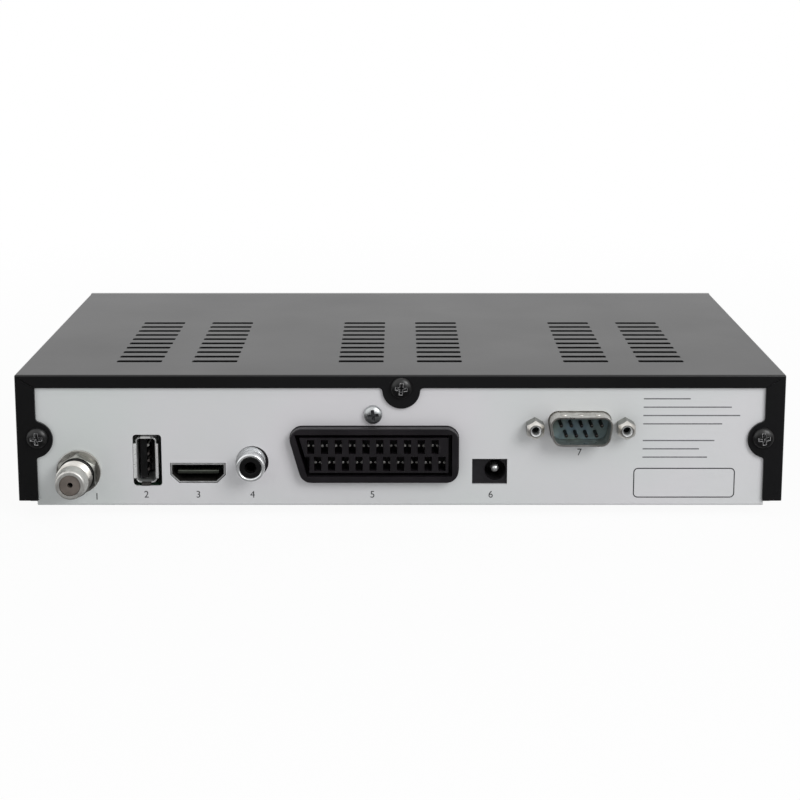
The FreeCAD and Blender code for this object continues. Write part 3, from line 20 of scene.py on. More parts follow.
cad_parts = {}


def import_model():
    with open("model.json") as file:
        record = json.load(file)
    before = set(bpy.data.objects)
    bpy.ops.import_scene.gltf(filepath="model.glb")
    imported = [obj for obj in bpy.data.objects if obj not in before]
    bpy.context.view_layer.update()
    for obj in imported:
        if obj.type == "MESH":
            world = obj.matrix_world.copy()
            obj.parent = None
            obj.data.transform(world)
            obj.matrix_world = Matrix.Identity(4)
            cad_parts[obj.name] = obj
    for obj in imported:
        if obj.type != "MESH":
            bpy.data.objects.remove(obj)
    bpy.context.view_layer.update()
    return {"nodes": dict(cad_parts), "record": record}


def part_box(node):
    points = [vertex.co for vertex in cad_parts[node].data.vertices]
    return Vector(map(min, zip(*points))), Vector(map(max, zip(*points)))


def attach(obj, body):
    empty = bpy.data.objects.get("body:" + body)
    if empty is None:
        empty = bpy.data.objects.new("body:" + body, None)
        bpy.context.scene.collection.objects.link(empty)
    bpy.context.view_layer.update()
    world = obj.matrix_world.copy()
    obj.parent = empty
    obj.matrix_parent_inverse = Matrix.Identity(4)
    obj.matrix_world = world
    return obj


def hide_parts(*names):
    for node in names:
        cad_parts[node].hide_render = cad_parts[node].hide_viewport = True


LOG = logging.getLogger("receiver")
MM = 0.001
SPIN_STEPS = 64
MERGE_MM = 0.002
SMOOTH_ANGLE = math.radians(32)
FLAT_ANGLE = 0.5
RIM_SEGMENTS = 4
INK_MM = 0.02

Point = Sequence[float]


class Body(Enum):
    """The bodies that pieces ride on."""

    CASE = "case"
    STANDBY = "standby_key"
    CHANNEL_UP = "channel_up_key"
    CHANNEL_DOWN = "channel_down_key"


class Grain(Enum):
    """The small relief of a surface."""

    FINE = "fine speckle of a mould or of plating"
    PEEL = "soft orange peel of cured powder"
    DRAWN = "long scratches of drawing or brushing"
    RIDGED = "parallel ridges"
    CELLS = "crystals or pores"


# ---------------------------------------------------------------- nodes and colours


def linear(colour: str, alpha: float = 1.0) -> tuple[float, float, float, float]:
    """Turn an sRGB hex colour into the linear values that shaders take.

    Args:
        colour: "#rrggbb".
        alpha: The fourth value.

    Returns:
        Red, green, blue and alpha.
    """
    parts = [int(colour[i:i + 2], 16) / 255 for i in (1, 3, 5)]
    red, green, blue = (c / 12.92 if c <= 0.04045 else ((c + 0.055) / 1.055) ** 2.4 for c in parts)
    return red, green, blue, alpha


def add_node(tree: bpy.types.NodeTree, kind: str, inputs: dict[str | int, Any] | None = None,
             **settings: Any) -> bpy.types.Node:
    """Add a node with its settings and links.

    Args:
        tree: The tree that gets it.
        kind: The node's type name.
        inputs: Input name or number to a value, or to the socket that feeds it.
        settings: The node's own properties.

    Returns:
        The node.
    """
    made = tree.nodes.new(kind)
    for name, value in settings.items():
        setattr(made, name, value)
    for key, value in (inputs or {}).items():
        if isinstance(value, bpy.types.NodeSocket):
            tree.links.new(value, made.inputs[key])
        else:
            made.inputs[key].default_value = value
    return made


# ---------------------------------------------------------------- finishes


@dataclass(frozen=True)
class Finish:
    """A surface: its colours, gloss and relief, all drawn from noise at real sizes.

    Attributes:
        slot: The record's material slot.
        colour: The main colour.
        shade: The colour that patches lean towards.
        roughness: Lowest and highest roughness.
        metallic: 1 for bare metal.
        ior: Index of refraction of what isn't metal.
        patch_mm: Size of the patches of colour and gloss.
        grain: The kind of relief.
        grain_mm: Size of one grain.
        depth_mm: Height of the relief.
        stretch: How much the pattern is squeezed along each axis.
        coat: Weight of a clear coat.
        clear: Share of light that passes through.
    """

    slot: str
    colour: str
    shade: str
    roughness: tuple[float, float] = (0.4, 0.5)
    metallic: float = 0.0
    ior: float = 1.5
    patch_mm: float = 12.0
    grain: Grain = Grain.FINE
    grain_mm: float = 0.4
    depth_mm: float = 0.01
    stretch: tuple[float, float, float] = (1.0, 1.0, 1.0)
    coat: float = 0.0
    clear: float = 0.0

    @property
    def name(self) -> str:
        """The material's name."""
        return self.slot

    def tint(self, tree: bpy.types.NodeTree, place: bpy.types.NodeSocket) -> bpy.types.NodeSocket:
        """Return the colour socket: the main colour with patches of the shade."""
        noise = add_node(tree, "ShaderNodeTexNoise", {"Vector": place, "Scale": 1 / (self.patch_mm * MM),
                                                      "Detail": 3.0})
        factor = add_node(tree, "ShaderNodeMapRange", {"Value": noise.outputs["Fac"],
                                                       "From Min": 0.35, "From Max": 0.65})
        return add_node(tree, "ShaderNodeMix", {0: factor.outputs["Result"], 6: linear(self.colour),
                                                7: linear(self.shade)}, data_type="RGBA").outputs[2]

    def relief(self, tree: bpy.types.NodeTree, place: bpy.types.NodeSocket) -> bpy.types.NodeSocket:
        """Return the height socket of the grain."""
        scale = 1 / (self.grain_mm * MM)
        if self.grain is Grain.CELLS:
            cells = add_node(tree, "ShaderNodeTexVoronoi", {"Vector": place, "Scale": scale})
            return cells.outputs["Distance"]
        if self.grain is Grain.RIDGED:
            ridges = add_node(tree, "ShaderNodeTexWave", {"Vector": place, "Scale": scale / 3.18,
                                                          "Distortion": 0.0}, wave_profile="SIN")
            return ridges.outputs["Fac"]
        detail = 1.0 if self.grain is Grain.PEEL else 4.0
        noise = add_node(tree, "ShaderNodeTexNoise", {"Vector": place, "Scale": scale, "Detail": detail})
        return noise.outputs["Fac"]

    def material(self) -> bpy.types.Material:
        """Return the finish's material, made once."""
        known = bpy.data.materials.get(self.name + "_finish")
        if known:
            return known
        made = bpy.data.materials.new(self.name + "_finish")
        made.use_nodes = True
        tree = made.node_tree
        tree.nodes.clear()
        place = add_node(tree, "ShaderNodeTexCoord").outputs["Object"]
        pulled = add_node(tree, "ShaderNodeMapping", {"Vector": place, "Scale": self.stretch}).outputs[0]
        gloss = add_node(tree, "ShaderNodeTexNoise", {"Vector": pulled, "Scale": 1.7 / (self.patch_mm * MM),
                                                      "Detail": 5.0})
        rough = add_node(tree, "ShaderNodeMapRange", {
            "Value": gloss.outputs["Fac"], "From Min": 0.3, "From Max": 0.7,
            "To Min": self.roughness[0], "To Max": self.roughness[1]})
        bump = add_node(tree, "ShaderNodeBump", {"Height": self.relief(tree, pulled), "Strength": 0.6,
                                                 "Distance": self.depth_mm * MM})
        shader = add_node(tree, "ShaderNodeBsdfPrincipled", {
            "Base Color": self.tint(tree, place), "Roughness": rough.outputs["Result"],
            "Metallic": self.metallic, "IOR": self.ior, "Normal": bump.outputs["Normal"],
            "Coat Weight": self.coat, "Coat Roughness": 0.08, "Transmission Weight": self.clear})
        add_node(tree, "ShaderNodeOutputMaterial", {"Surface": shader.outputs["BSDF"]})
        return made


@dataclass(frozen=True)
class Spangle(Finish):
    """Zinc-plated sheet: flat crystals of slightly different grey."""

    spangle_mm: float = 5.0

    def tint(self, tree: bpy.types.NodeTree, place: bpy.types.NodeSocket) -> bpy.types.NodeSocket:
        """Return the colour socket: one grey for each crystal."""
        cells = add_node(tree, "ShaderNodeTexVoronoi", {"Vector": place, "Scale": 1 / (self.spangle_mm * MM)})
        grey = add_node(tree, "ShaderNodeRGBToBW", {"Color": cells.outputs["Color"]})
        return add_node(tree, "ShaderNodeMix", {0: grey.outputs["Val"], 6: linear(self.colour),
                                                7: linear(self.shade)}, data_type="RGBA").outputs[2]


@dataclass(frozen=True)
class Laminate(Finish):
    """Printed circuit board: solder mask that darkens between copper tracks."""

    track_mm: float = 1.3

    def tint(self, tree: bpy.types.NodeTree, place: bpy.types.NodeSocket) -> bpy.types.NodeSocket:
        """Return the colour socket: straight tracks under the mask, from a brick pattern."""
        bricks = add_node(tree, "ShaderNodeTexBrick", {
            "Vector": place, "Color1": linear(self.colour), "Color2": linear(self.colour),
            "Mortar": linear(self.shade), "Scale": 1 / (self.track_mm * MM), "Mortar Size": 0.06,
            "Brick Width": 7.0, "Row Height": 1.0}, offset=0.37)
        return bricks.outputs["Color"]


@dataclass(frozen=True)
class Variant(Finish):
    """A second finish of the same slot, under its own name."""

    label: str = ""

    @property
    def name(self) -> str:
        """The material's name."""
        return self.label


# Powder coat cures to a satin film with orange peel about a millimetre wide, so edges look soft.
POWDER_COAT = Finish("black_cover_steel", "#0a0a0b", "#0e0e10", (0.33, 0.37), ior=1.48, patch_mm=70,
                     grain=Grain.PEEL, grain_mm=1.1, depth_mm=0.012)
# Sprayed polyester paint on steel is satin, with a faint cool and warm drift across the sheet.
PANEL_PAINT = Finish("grey_panel_steel", "#c9cecd", "#cecdd0", (0.42, 0.52), patch_mm=60, grain_mm=0.35,
                     depth_mm=0.006)
# The rounded edges of the punched openings are painted near white: a painted highlight round each opening.
PUNCHED_EDGE_HIGHLIGHT = Variant("grey_panel_steel", "#f4f4f4", "#e6e6e6", (0.25, 0.35), grain_mm=0.2,
                       depth_mm=0.004, label="punched_edge")
# Where the driver has rubbed the oxide off, bare steel shows; the near-white colour also paints glints on the
# edges.
WORN_OXIDE_AND_GLINT = Variant("black_screw_steel", "#f2f2f3", "#8b8b8e", (0.3, 0.45), metallic=0.2, patch_mm=0.6,
                     grain_mm=0.15, depth_mm=0.004, label="worn_oxide")
# Black oxide leaves the steel's turning marks and a dull gleam.
BLACK_OXIDE = Finish("black_screw_steel", "#0b0b0c", "#070708", (0.3, 0.42), patch_mm=2, grain_mm=0.15,
                     depth_mm=0.006)
# The bright screw's cross recess is painted darker than its plate: painted shade where the light hardly
# reaches.
RECESS_SHADE = Variant("zinc_steel", "#747577", "#505153", (0.35, 0.5), metallic=0.5, patch_mm=0.6,
                      grain_mm=0.15, depth_mm=0.004, label="dark_recess")
# Zinc plate is bright with faint crystals.
ZINC = Spangle("zinc_steel", "#c4c6c5", "#aeb2b5", (0.28, 0.42), metallic=1.0, grain=Grain.DRAWN,
               grain_mm=0.3, depth_mm=0.004, stretch=(1.0, 0.15, 1.0))
# High-gloss ABS: mirror-like with slow flow waves from the mould.
GLOSS_ABS = Finish("black_bezel_plastic", "#08080a", "#0c0c0f", (0.06, 0.12), ior=1.54, patch_mm=18,
                   grain=Grain.PEEL, grain_mm=9.0, depth_mm=0.02, coat=0.3)
# Cast acrylic with a smoke dye: hard, clear and dark.
SMOKED_ACRYLIC = Finish("smoked_acrylic", "#3a3a42", "#34343c", (0.02, 0.04), ior=1.49, grain_mm=6.0,
                        grain=Grain.PEEL, depth_mm=0.003, clear=0.95)
# Moulded rubber is matt with fine pores.
RUBBER = Finish("foot_rubber", "#1d1d1e", "#262627", (0.75, 0.9), grain=Grain.CELLS, grain_mm=0.5,
                depth_mm=0.03)
# Solder mask on glass fibre: glossy green with tracks beneath.
BOARD = Laminate("circuit_board", "#0a2616", "#0f3a22", (0.25, 0.35), grain_mm=1.3, depth_mm=0.02)
# Nickel plate is a little warm and cloudy.
NICKEL = Finish("nickel", "#e2e0db", "#c6c3bd", (0.26, 0.38), metallic=1.0, patch_mm=2.5, grain_mm=0.25,
                depth_mm=0.006)
# A faced end keeps the cutter's matt surface under the plate; on the nut's and jackscrews' edges it is a
# painted highlight.
FACED_END_AND_EDGE_HIGHLIGHT = Variant("nickel", "#dddcd8", "#c9c8c4", (0.35, 0.5), metallic=0.75, patch_mm=1.5, grain_mm=0.2,
                    depth_mm=0.006, label="faced_end")
# A darker copy of the nickel: painted shade on the nut and on the jackscrews' flats.
SHADED_NICKEL = Variant("nickel", "#9b9b96", "#777873", (0.26, 0.38), metallic=1.0, patch_mm=2.5,
                        grain_mm=0.25, depth_mm=0.006, label="bulk_plated")
# Near black, as painted shade: down threads and holes, in the nut's countersink and on the barrel's thread just
# before the nut.
THREAD_SHADE = Variant("nickel", "#141312", "#0c0b0b", (0.4, 0.6), metallic=0.3, patch_mm=1.0, grain_mm=0.3,
                      depth_mm=0.03, label="tapped_hole")
# Chrome plate mirrors its surroundings and stays cool.
CHROME = Finish("chrome_plate", "#f0f1f2", "#e0e2e4", (0.16, 0.24), metallic=0.7, patch_mm=3, grain_mm=0.4,
                depth_mm=0.002)
# The shells of sockets are stamped from plated strip, which stays satin.
SATIN_PLATE = Variant("chrome_plate", "#eceded", "#d2d4d3", (0.34, 0.46), metallic=0.85, patch_mm=1.5,
                      grain_mm=0.2, depth_mm=0.005, label="satin_plate")
# Plugs burnish the lips that they slide over.
BURNISHED_LIP = Variant("chrome_plate", "#f6f7f6", "#e6e8e7", (0.25, 0.36), metallic=0.5, patch_mm=1.5,
                        grain_mm=0.2, depth_mm=0.003, label="burnished_lip")
# Dark plate: on the data socket's lowest lip, and as painted shade inside the video socket's shell.
DARK_PLATE = Variant("chrome_plate", "#33312e", "#1f1d1b", (0.45, 0.6), metallic=0.5, patch_mm=0.8,
                    grain_mm=0.2, depth_mm=0.01, label="grimy_lip")
# Glass-filled nylon off the mould: matt, with the spark-eroded grain of the tool.
NYLON = Finish("black_plastic", "#171518", "#1e1b1f", (0.28, 0.38), patch_mm=8, grain_mm=0.25, depth_mm=0.008)
# Polyester for mains parts is a shade paler.
INLET_BLACK = Variant("black_plastic", "#1a191c", "#222124", (0.35, 0.45), patch_mm=4, grain_mm=0.25,
                      depth_mm=0.006, label="inlet_black")
# Plastic with carbon black is deeper and smoother.
CARBON_BLACK = Variant("black_plastic", "#070708", "#0b0b0c", (0.3, 0.4), patch_mm=3, grain_mm=0.2,
                       depth_mm=0.004, label="carbon_black")
# The video socket's tongue is black with an olive cast; the upper rounding of its front edge is painted paler
# as a highlight.
OLIVE_NYLON = Variant("black_plastic", "#1c1f19", "#262a22", (0.4, 0.55), patch_mm=1.0, grain_mm=0.25,
                      depth_mm=0.02, label="olive_nylon")
OLIVE_EDGE_HIGHLIGHT = Variant("black_plastic", "#5d6158", "#454940", (0.4, 0.5), patch_mm=1.5, grain_mm=0.2,
                     depth_mm=0.005, label="thin_olive")
# Polypropylene insulator, waxy and grey-brown.
INSULATOR = Finish("grey_insulator", "#746b65", "#5d5650", (0.4, 0.55), patch_mm=4.0, grain_mm=0.2,
                   depth_mm=0.008)
# Thermoplastic polyester in slate blue.
SLATE = Finish("blue_green_insulator", "#5d7482", "#67776f", (0.4, 0.55), patch_mm=7, grain_mm=0.25,
               depth_mm=0.01)
# Gold flash over nickel keeps the stamping's fine lines.
GOLD = Finish("gold_contact", "#d8b465", "#c09a4c", (0.2, 0.32), metallic=1.0, patch_mm=1, grain_mm=0.12,
              grain=Grain.DRAWN, depth_mm=0.003, stretch=(1.0, 0.2, 1.0))
# Contacts that plugs have rubbed turn dull; their dark colour is also painted shade, as they sit deep in their
# sockets.
RUBBED_AND_SHADED_CONTACT = Variant("gold_contact", "#3a3733", "#28262a", (0.35, 0.5), metallic=1.0, patch_mm=1.0,
                         grain_mm=0.15, depth_mm=0.004, label="rubbed_contact")
# Springs of phosphor bronze are tinned where they rub.
TINNED_SPRING = Variant("gold_contact", "#c4c3c0", "#a9a8a5", (0.4, 0.5), metallic=0.2, patch_mm=1.0,
                        grain_mm=0.15, depth_mm=0.004, label="tinned_spring")
# The lower three data springs are painted duller and darker than the top one: painted shade.
SHADED_SPRING = Variant("gold_contact", "#6a6462", "#544f4e", (0.4, 0.5), metallic=0.2, patch_mm=1.0,
                        grain_mm=0.15, depth_mm=0.004, label="dulled_spring")
# Matt tin has a soft frosted gleam.
TIN = Finish("tinned_contact", "#f0efec", "#dcdad6", (0.4, 0.55), metallic=1.0, patch_mm=2, grain_mm=0.2,
             depth_mm=0.004)
# Moulding epoxy full of silica is dead matt.
EPOXY = Finish("chip_plastic", "#1a1a1c", "#212123", (0.6, 0.75), grain_mm=0.15, depth_mm=0.01)
# Extruded aluminium shows die lines along its length.
ALUMINIUM = Finish("sink_aluminium", "#c9cacc", "#b4b6b9", (0.3, 0.42), metallic=1.0, grain=Grain.DRAWN,
                   grain_mm=0.4, depth_mm=0.01, stretch=(1.0, 0.08, 1.0))
# Tinted epoxy of a light-emitting diode.
RED_EPOXY = Finish("red_light", "#8c1410", "#6e0f0c", (0.08, 0.15), ior=1.55, patch_mm=2, clear=0.5)
# Ribbon vinyl is ridged wire by wire.
VINYL = Finish("ribbon_grey", "#8d8e92", "#7c7d82", (0.45, 0.6), grain=Grain.RIDGED, grain_mm=1.27,
               depth_mm=0.15)
# Shrink sleeve: dark blue, slightly glossy and pulled tight.
SLEEVE = Finish("capacitor_sleeve", "#10182c", "#0c1222", (0.25, 0.4), patch_mm=4, grain_mm=0.6,
                depth_mm=0.01)
# Screen-printed ink: dull and a little uneven at its edges.
INK = Variant("black_plastic", "#262628", "#3c3c3f", (0.55, 0.7), patch_mm=0.6, grain_mm=0.15,
              depth_mm=0.004, label="print_ink")
# The fine rules are printed in a thinner, greyer ink.
PALE_INK = Variant("black_plastic", "#5f6063", "#747578", (0.55, 0.7), patch_mm=0.6, grain_mm=0.15,
                   depth_mm=0.004, label="pale_ink")
WHITE_INK = Variant("black_bezel_plastic", "#d9dadc", "#c9cacc", (0.5, 0.6), patch_mm=1.0, grain_mm=0.15,
                    depth_mm=0.004, label="white_ink")
# Unlit segments look like smoke-grey film.
SEGMENT = Variant("chip_plastic", "#8f9294", "#7f8284", (0.4, 0.5), patch_mm=2.0, grain_mm=0.2,
                  depth_mm=0.003, label="unlit_segment")

FINISHES = {finish.slot: finish for finish in (
    POWDER_COAT, PANEL_PAINT, BLACK_OXIDE, ZINC, GLOSS_ABS, SMOKED_ACRYLIC, RUBBER, BOARD, NICKEL, CHROME,
    NYLON, INSULATOR, SLATE, GOLD, TIN, EPOXY, ALUMINIUM, RED_EPOXY, VINYL, SLEEVE)}


# ---------------------------------------------------------------- measuring the frame


@dataclass(frozen=True)
class Span:
    """A box in millimetres."""

    low: Vector
    high: Vector

    @property
    def centre(self) -> Vector:
        """The box's middle."""
        return (self.low + self.high) / 2

    @property
    def size(self) -> Vector:
        """The box's edge lengths."""
        return self.high - self.low


def span_of(node: str) -> Span:
    """Return a node's box."""
    low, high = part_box(node)
    return Span(low / MM, high / MM)


def merged(node: str) -> bmesh.types.BMesh:
    """Return a copy of a node's mesh with its loose triangles joined."""
    mesh = bmesh.new()
    mesh.from_mesh(bpy.data.objects[node].data)
    bmesh.ops.remove_doubles(mesh, verts=mesh.verts, dist=MERGE_MM * MM)
    return mesh


def solids(node: str) -> list[Span]:
    """Return the box of each solid of a node, by height and then from -X to +X."""
    mesh = merged(node)
    left, found = set(mesh.verts), []
    while left:
        stack, corners = [left.pop()], []
        while stack:
            vertex = stack.pop()
            corners.append(vertex.co / MM)
            for edge in vertex.link_edges:
                other = edge.other_vert(vertex)
                if other in left:
                    left.remove(other)
                    stack.append(other)
        found.append(Span(Vector([min(c[i] for c in corners) for i in range(3)]),
                          Vector([max(c[i] for c in corners) for i in range(3)])))
    mesh.free()
    return sorted(found, key=lambda span: (round(span.centre.z, 2), span.centre.x))


def beyond(node: str, y: float) -> Span:
    """Return the box of the part of a node that lies past a distance along Y."""
    corners = [v.co / MM for v in bpy.data.objects[node].data.vertices if v.co.y / MM > y]
    return Span(Vector([min(c[i] for c in corners) for i in range(3)]),
                Vector([max(c[i] for c in corners) for i in range(3)]))


# ---------------------------------------------------------------- making meshes


def add_object(name: str, mesh: bpy.types.Mesh) -> bpy.types.Object:
    """Put a mesh in the scene under a name."""
    made = bpy.data.objects.new(name, mesh)
    bpy.context.scene.collection.objects.link(made)
    return made


def piece_from(mesh: bmesh.types.BMesh, name: str) -> bpy.types.Object:
    """Make an object of a mesh drawn in millimetres, closed and with its faces outwards.

    Args:
        mesh: The drawing, which is used up.
        name: The object's name.

    Returns:
        The object, in metres.
    """
    bmesh.ops.remove_doubles(mesh, verts=mesh.verts, dist=MERGE_MM)
    bmesh.ops.recalc_face_normals(mesh, faces=mesh.faces)
    made = bpy.data.meshes.new(name)
    mesh.to_mesh(made)
    mesh.free()
    made.transform(Matrix.Scale(MM, 4))
    return add_object(name, made)


def settled(piece: bpy.types.Object) -> bpy.types.Object:
    """Turn a piece's modifiers into a plain mesh."""
    shape = piece.evaluated_get(bpy.context.evaluated_depsgraph_get())
    mesh = bpy.data.meshes.new_from_object(shape)
    piece.modifiers.clear()
    piece.data = mesh
    return piece


def removed(piece: bpy.types.Object) -> None:
    """Take a helper out of the scene."""
    bpy.data.objects.remove(piece)


def lathe(profile: Sequence[tuple[float, float]], x: float = 0.0, z: float = 0.0,
          steps: int = SPIN_STEPS) -> bmesh.types.BMesh:
    """Turn a closed profile about an axis along Y.

    Args:
        profile: Pairs of distance along Y and radius, in order round the section.
        x: The axis's place.
        z: The axis's place.
        steps: Facets round the axis.

    Returns:
        The drawing in millimetres.
    """
    mesh = bmesh.new()
    angles = [math.tau * i / steps for i in range(steps)]
    rings = []
    for along, radius in profile:
        if radius == 0:
            rings.append([mesh.verts.new((x, along, z))] * steps)
        else:
            rings.append([mesh.verts.new((x + radius * math.cos(a), along, z + radius * math.sin(a)))
                          for a in angles])
    for near, far in zip(rings, rings[1:] + rings[:1]):
        for i in range(steps):
            corners = list(dict.fromkeys((near[i - 1], near[i], far[i], far[i - 1])))
            if len(corners) > 2:
                mesh.faces.new(corners)
    return mesh


def arc(centre: Point, radii: Point, start: float, end: float, steps: int) -> list[tuple[float, float]]:
    """Return points of an elliptical arc, with angles in degrees."""
    turns = [math.radians(start + (end - start) * i / steps) for i in range(steps + 1)]
    return [(centre[0] + radii[0] * math.cos(t), centre[1] + radii[1] * math.sin(t)) for t in turns]


def prism(outline: Sequence[tuple[float, float]], span: tuple[float, float],
          end_scale: float = 1.0) -> bmesh.types.BMesh:
    """Extrude an outline in X and Z along Y.

    Args:
        outline: Points in order.
        span: Where it starts and ends along Y.
        end_scale: How large the outline is at the far end, about the axis.

    Returns:
        The drawing in millimetres.
    """
    mesh = bmesh.new()
    near = [mesh.verts.new((x, span[0], z)) for x, z in outline]
    far = [mesh.verts.new((x * end_scale, span[1], z * end_scale)) for x, z in outline]
    mesh.faces.new(near)
    mesh.faces.new(far)
    for i in range(len(outline)):
        mesh.faces.new((near[i - 1], near[i], far[i], far[i - 1]))
    return mesh


def rounded(width: float, height: float, radius: float, steps: int = 6) -> list[tuple[float, float]]:
    """Return the outline of a rounded rectangle about the origin."""
    corners = []
    for start, right, up in ((0, 1, 1), (90, -1, 1), (180, -1, -1), (270, 1, -1)):
        centre = (right * (width / 2 - radius), up * (height / 2 - radius))
        corners += arc(centre, (radius, radius), start, start + 90, steps)
    return corners


def circle(radius: float, x: float = 0.0, z: float = 0.0) -> list[tuple[float, float]]:
    """Return the outline of a circle."""
    return arc((x, z), (radius, radius), 0, 360, SPIN_STEPS)[:-1]


def hexagon(flats: float) -> list[tuple[float, float]]:
    """Return the outline of a hexagon that stands on a corner, about the origin."""
    corner = flats / math.sqrt(3)
    turns = [math.tau * i / 6 for i in range(6)]
    return [(corner * math.sin(turn), corner * math.cos(turn)) for turn in turns]


def frame_ring(outer: Sequence[tuple[float, float]], inner: Sequence[tuple[float, float]],
               span: tuple[float, float]) -> bmesh.types.BMesh:
    """Make a closed frame between two outlines with as many points, along Y."""
    mesh = bmesh.new()
    loops = [[mesh.verts.new((x, y, z)) for x, z in outline]
             for outline, y in ((outer, span[0]), (outer, span[1]), (inner, span[1]), (inner, span[0]))]
    for near, far in zip(loops, loops[1:] + loops[:1]):
        for i in range(len(outer)):
            mesh.faces.new((near[i - 1], near[i], far[i], far[i - 1]))
    return mesh


def shifted(mesh: bmesh.types.BMesh, place: Point) -> bmesh.types.BMesh:
    """Move a drawing."""
    bmesh.ops.translate(mesh, vec=Vector(place), verts=mesh.verts)
    return mesh


def joined(*meshes: bmesh.types.BMesh) -> bmesh.types.BMesh:
    """Put several drawings in one."""
    whole = bmesh.new()
    for mesh in meshes:
        loose = bpy.data.meshes.new("loose")
        mesh.to_mesh(loose)
        mesh.free()
        whole.from_mesh(loose)
        bpy.data.meshes.remove(loose)
    return whole


def carved(piece: bpy.types.Object, tool: bpy.types.Object, operation: str = "DIFFERENCE") -> bpy.types.Object:
    """Cut a tool out of a piece, or keep what they share, and remove the tool.

    Args:
        piece: The piece.
        tool: What cuts it. Where it has a material, the faces that it cuts take it.
        operation: The kind of cut.

    Returns:
        The piece, as a plain mesh.
    """
    cutter = piece.modifiers.new("cut", "BOOLEAN")
    cutter.operation = operation
    cutter.object = tool
    cutter.solver = "EXACT"
    if tool.data.materials:
        cutter.material_mode = "TRANSFER"
    settled(piece)
    removed(tool)
    return piece


def softened(piece: bpy.types.Object, width: float, segments: int = 2, angle: float = 35.0,
             edge: Finish | None = None) -> bpy.types.Object:
    """Round a piece's sharp edges.

    Args:
        piece: The piece.
        width: How far the rounding reaches on each face.
        segments: Facets across it.
        angle: Edges that turn less, in degrees, stay as they are.
        edge: A finish for the rounding, or None for the piece's own.

    Returns:
        The piece, as a plain mesh.
    """
    bevel = piece.modifiers.new("edges", "BEVEL")
    bevel.width = width * MM
    bevel.segments = segments
    bevel.limit_method = "ANGLE"
    bevel.angle_limit = math.radians(angle)
    bevel.use_clamp_overlap = True
    if edge:
        piece.data.materials.append(edge.material())
        bevel.material = len(piece.data.materials) - 1
    return settled(piece)


def painted(piece: bpy.types.Object, base: Finish, second: Finish,
            chosen: Callable[[Vector, Vector], bool]) -> bpy.types.Object:
    """Give some faces of a piece a second finish.

    Args:
        piece: The piece.
        base: The finish of the rest, where the piece has none yet.
        second: The finish of the chosen faces.
        chosen: Says of a face's middle, in millimetres, and its normal whether it is one of them.

    Returns:
        The piece.
    """
    if not piece.data.materials:
        piece.data.materials.append(base.material())
    piece.data.materials.append(second.material())
    for face in piece.data.polygons:
        if chosen(face.center / MM, face.normal):
            face.material_index = len(piece.data.materials) - 1
    return piece


def finished(piece: bpy.types.Object, finish: Finish, body: Body = Body.CASE,
             stands_for: Iterable[str] = ()) -> bpy.types.Object:
    """Give a plain mesh its finish, smooth shading, body and the nodes that it stands for."""
    if not piece.data.materials:
        piece.data.materials.append(finish.material())
    piece.data.polygons.foreach_set("use_smooth", [True] * len(piece.data.polygons))
    piece.data.set_sharp_from_angle(angle=SMOOTH_ANGLE)
    weighted = piece.modifiers.new("normals", "WEIGHTED_NORMAL")
    weighted.weight = 100
    weighted.keep_sharp = True
    settled(piece)
    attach(piece, body.value)
    nodes = list(stands_for)
    if nodes:
        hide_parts(*nodes)
    LOG.info("%s: %d faces, on %s", piece.name, len(piece.data.polygons), body.value)
    return piece


def outer_rim(mesh: bmesh.types.BMesh) -> list[bmesh.types.BMEdge]:
    """Return the outer edges of the face at a mesh's highest Y."""
    front = max(v.co.y for v in mesh.verts) - MERGE_MM * MM
    corners = [v.co for v in mesh.verts if v.co.y > front]
    middle = sum(corners, Vector()) / len(corners)
    found = []
    for edge in mesh.edges:
        if all(v.co.y > front for v in edge.verts):
            outwards = (edge.verts[0].co + edge.verts[1].co) / 2 - middle
            if any(abs(face.normal.y) < 0.1 and face.normal.dot(outwards) > 0 for face in edge.link_faces):
                found.append(edge)
    return found


def dressed(node: str, finish: Finish, width: float, body: Body = Body.CASE, segments: int = 2,
            edge: Finish | None = None, rim: float = 0.0) -> bpy.types.Object:
    """Stand a copy with rounded edges in for a node.

    Args:
        node: The node.
        finish: The copy's finish.
        width: How far the rounding reaches on each face.
        body: What the node rides on.
        segments: Facets across the rounding.
        edge: A finish for the rounding, or None for the same.
        rim: How far the outer edge of the face at the highest Y is rounded before the rest.

    Returns:
        The copy.
    """
    mesh = merged(node)
    bmesh.ops.dissolve_limit(mesh, angle_limit=math.radians(FLAT_ANGLE), verts=mesh.verts, edges=mesh.edges)
    if rim:
        bmesh.ops.bevel(mesh, geom=outer_rim(mesh), offset=rim * MM, segments=RIM_SEGMENTS, profile=0.5,
                        affect="EDGES", clamp_overlap=True)
    made = bpy.data.meshes.new(node + "_shape")
    mesh.to_mesh(made)
    mesh.free()
    if "custom_normal" in made.attributes:
        made.attributes.remove(made.attributes["custom_normal"])
    made.materials.clear()
    made.materials.append(finish.material())
    piece = add_object(node + "_shape", made)
    softened(piece, width, segments, edge=edge)
    return finished(piece, finish, body, [node])


# ---------------------------------------------------------------- repeated pieces


def new_tree(name: str, **sockets: str) -> tuple[bpy.types.NodeTree, bpy.types.Node]:
    """Start a geometry tree.

    Args:
        name: The tree's name.
        sockets: Input name to socket type.

    Returns:
        The tree and its input node.
    """
    tree = bpy.data.node_groups.new(name, "GeometryNodeTree")
    tree.interface.new_socket("Geometry", in_out="INPUT", socket_type="NodeSocketGeometry")
    for label, kind in sockets.items():
        tree.interface.new_socket(label, in_out="INPUT", socket_type="NodeSocket" + kind)
    tree.interface.new_socket("Geometry", in_out="OUTPUT", socket_type="NodeSocketGeometry")
    return tree, add_node(tree, "NodeGroupInput")


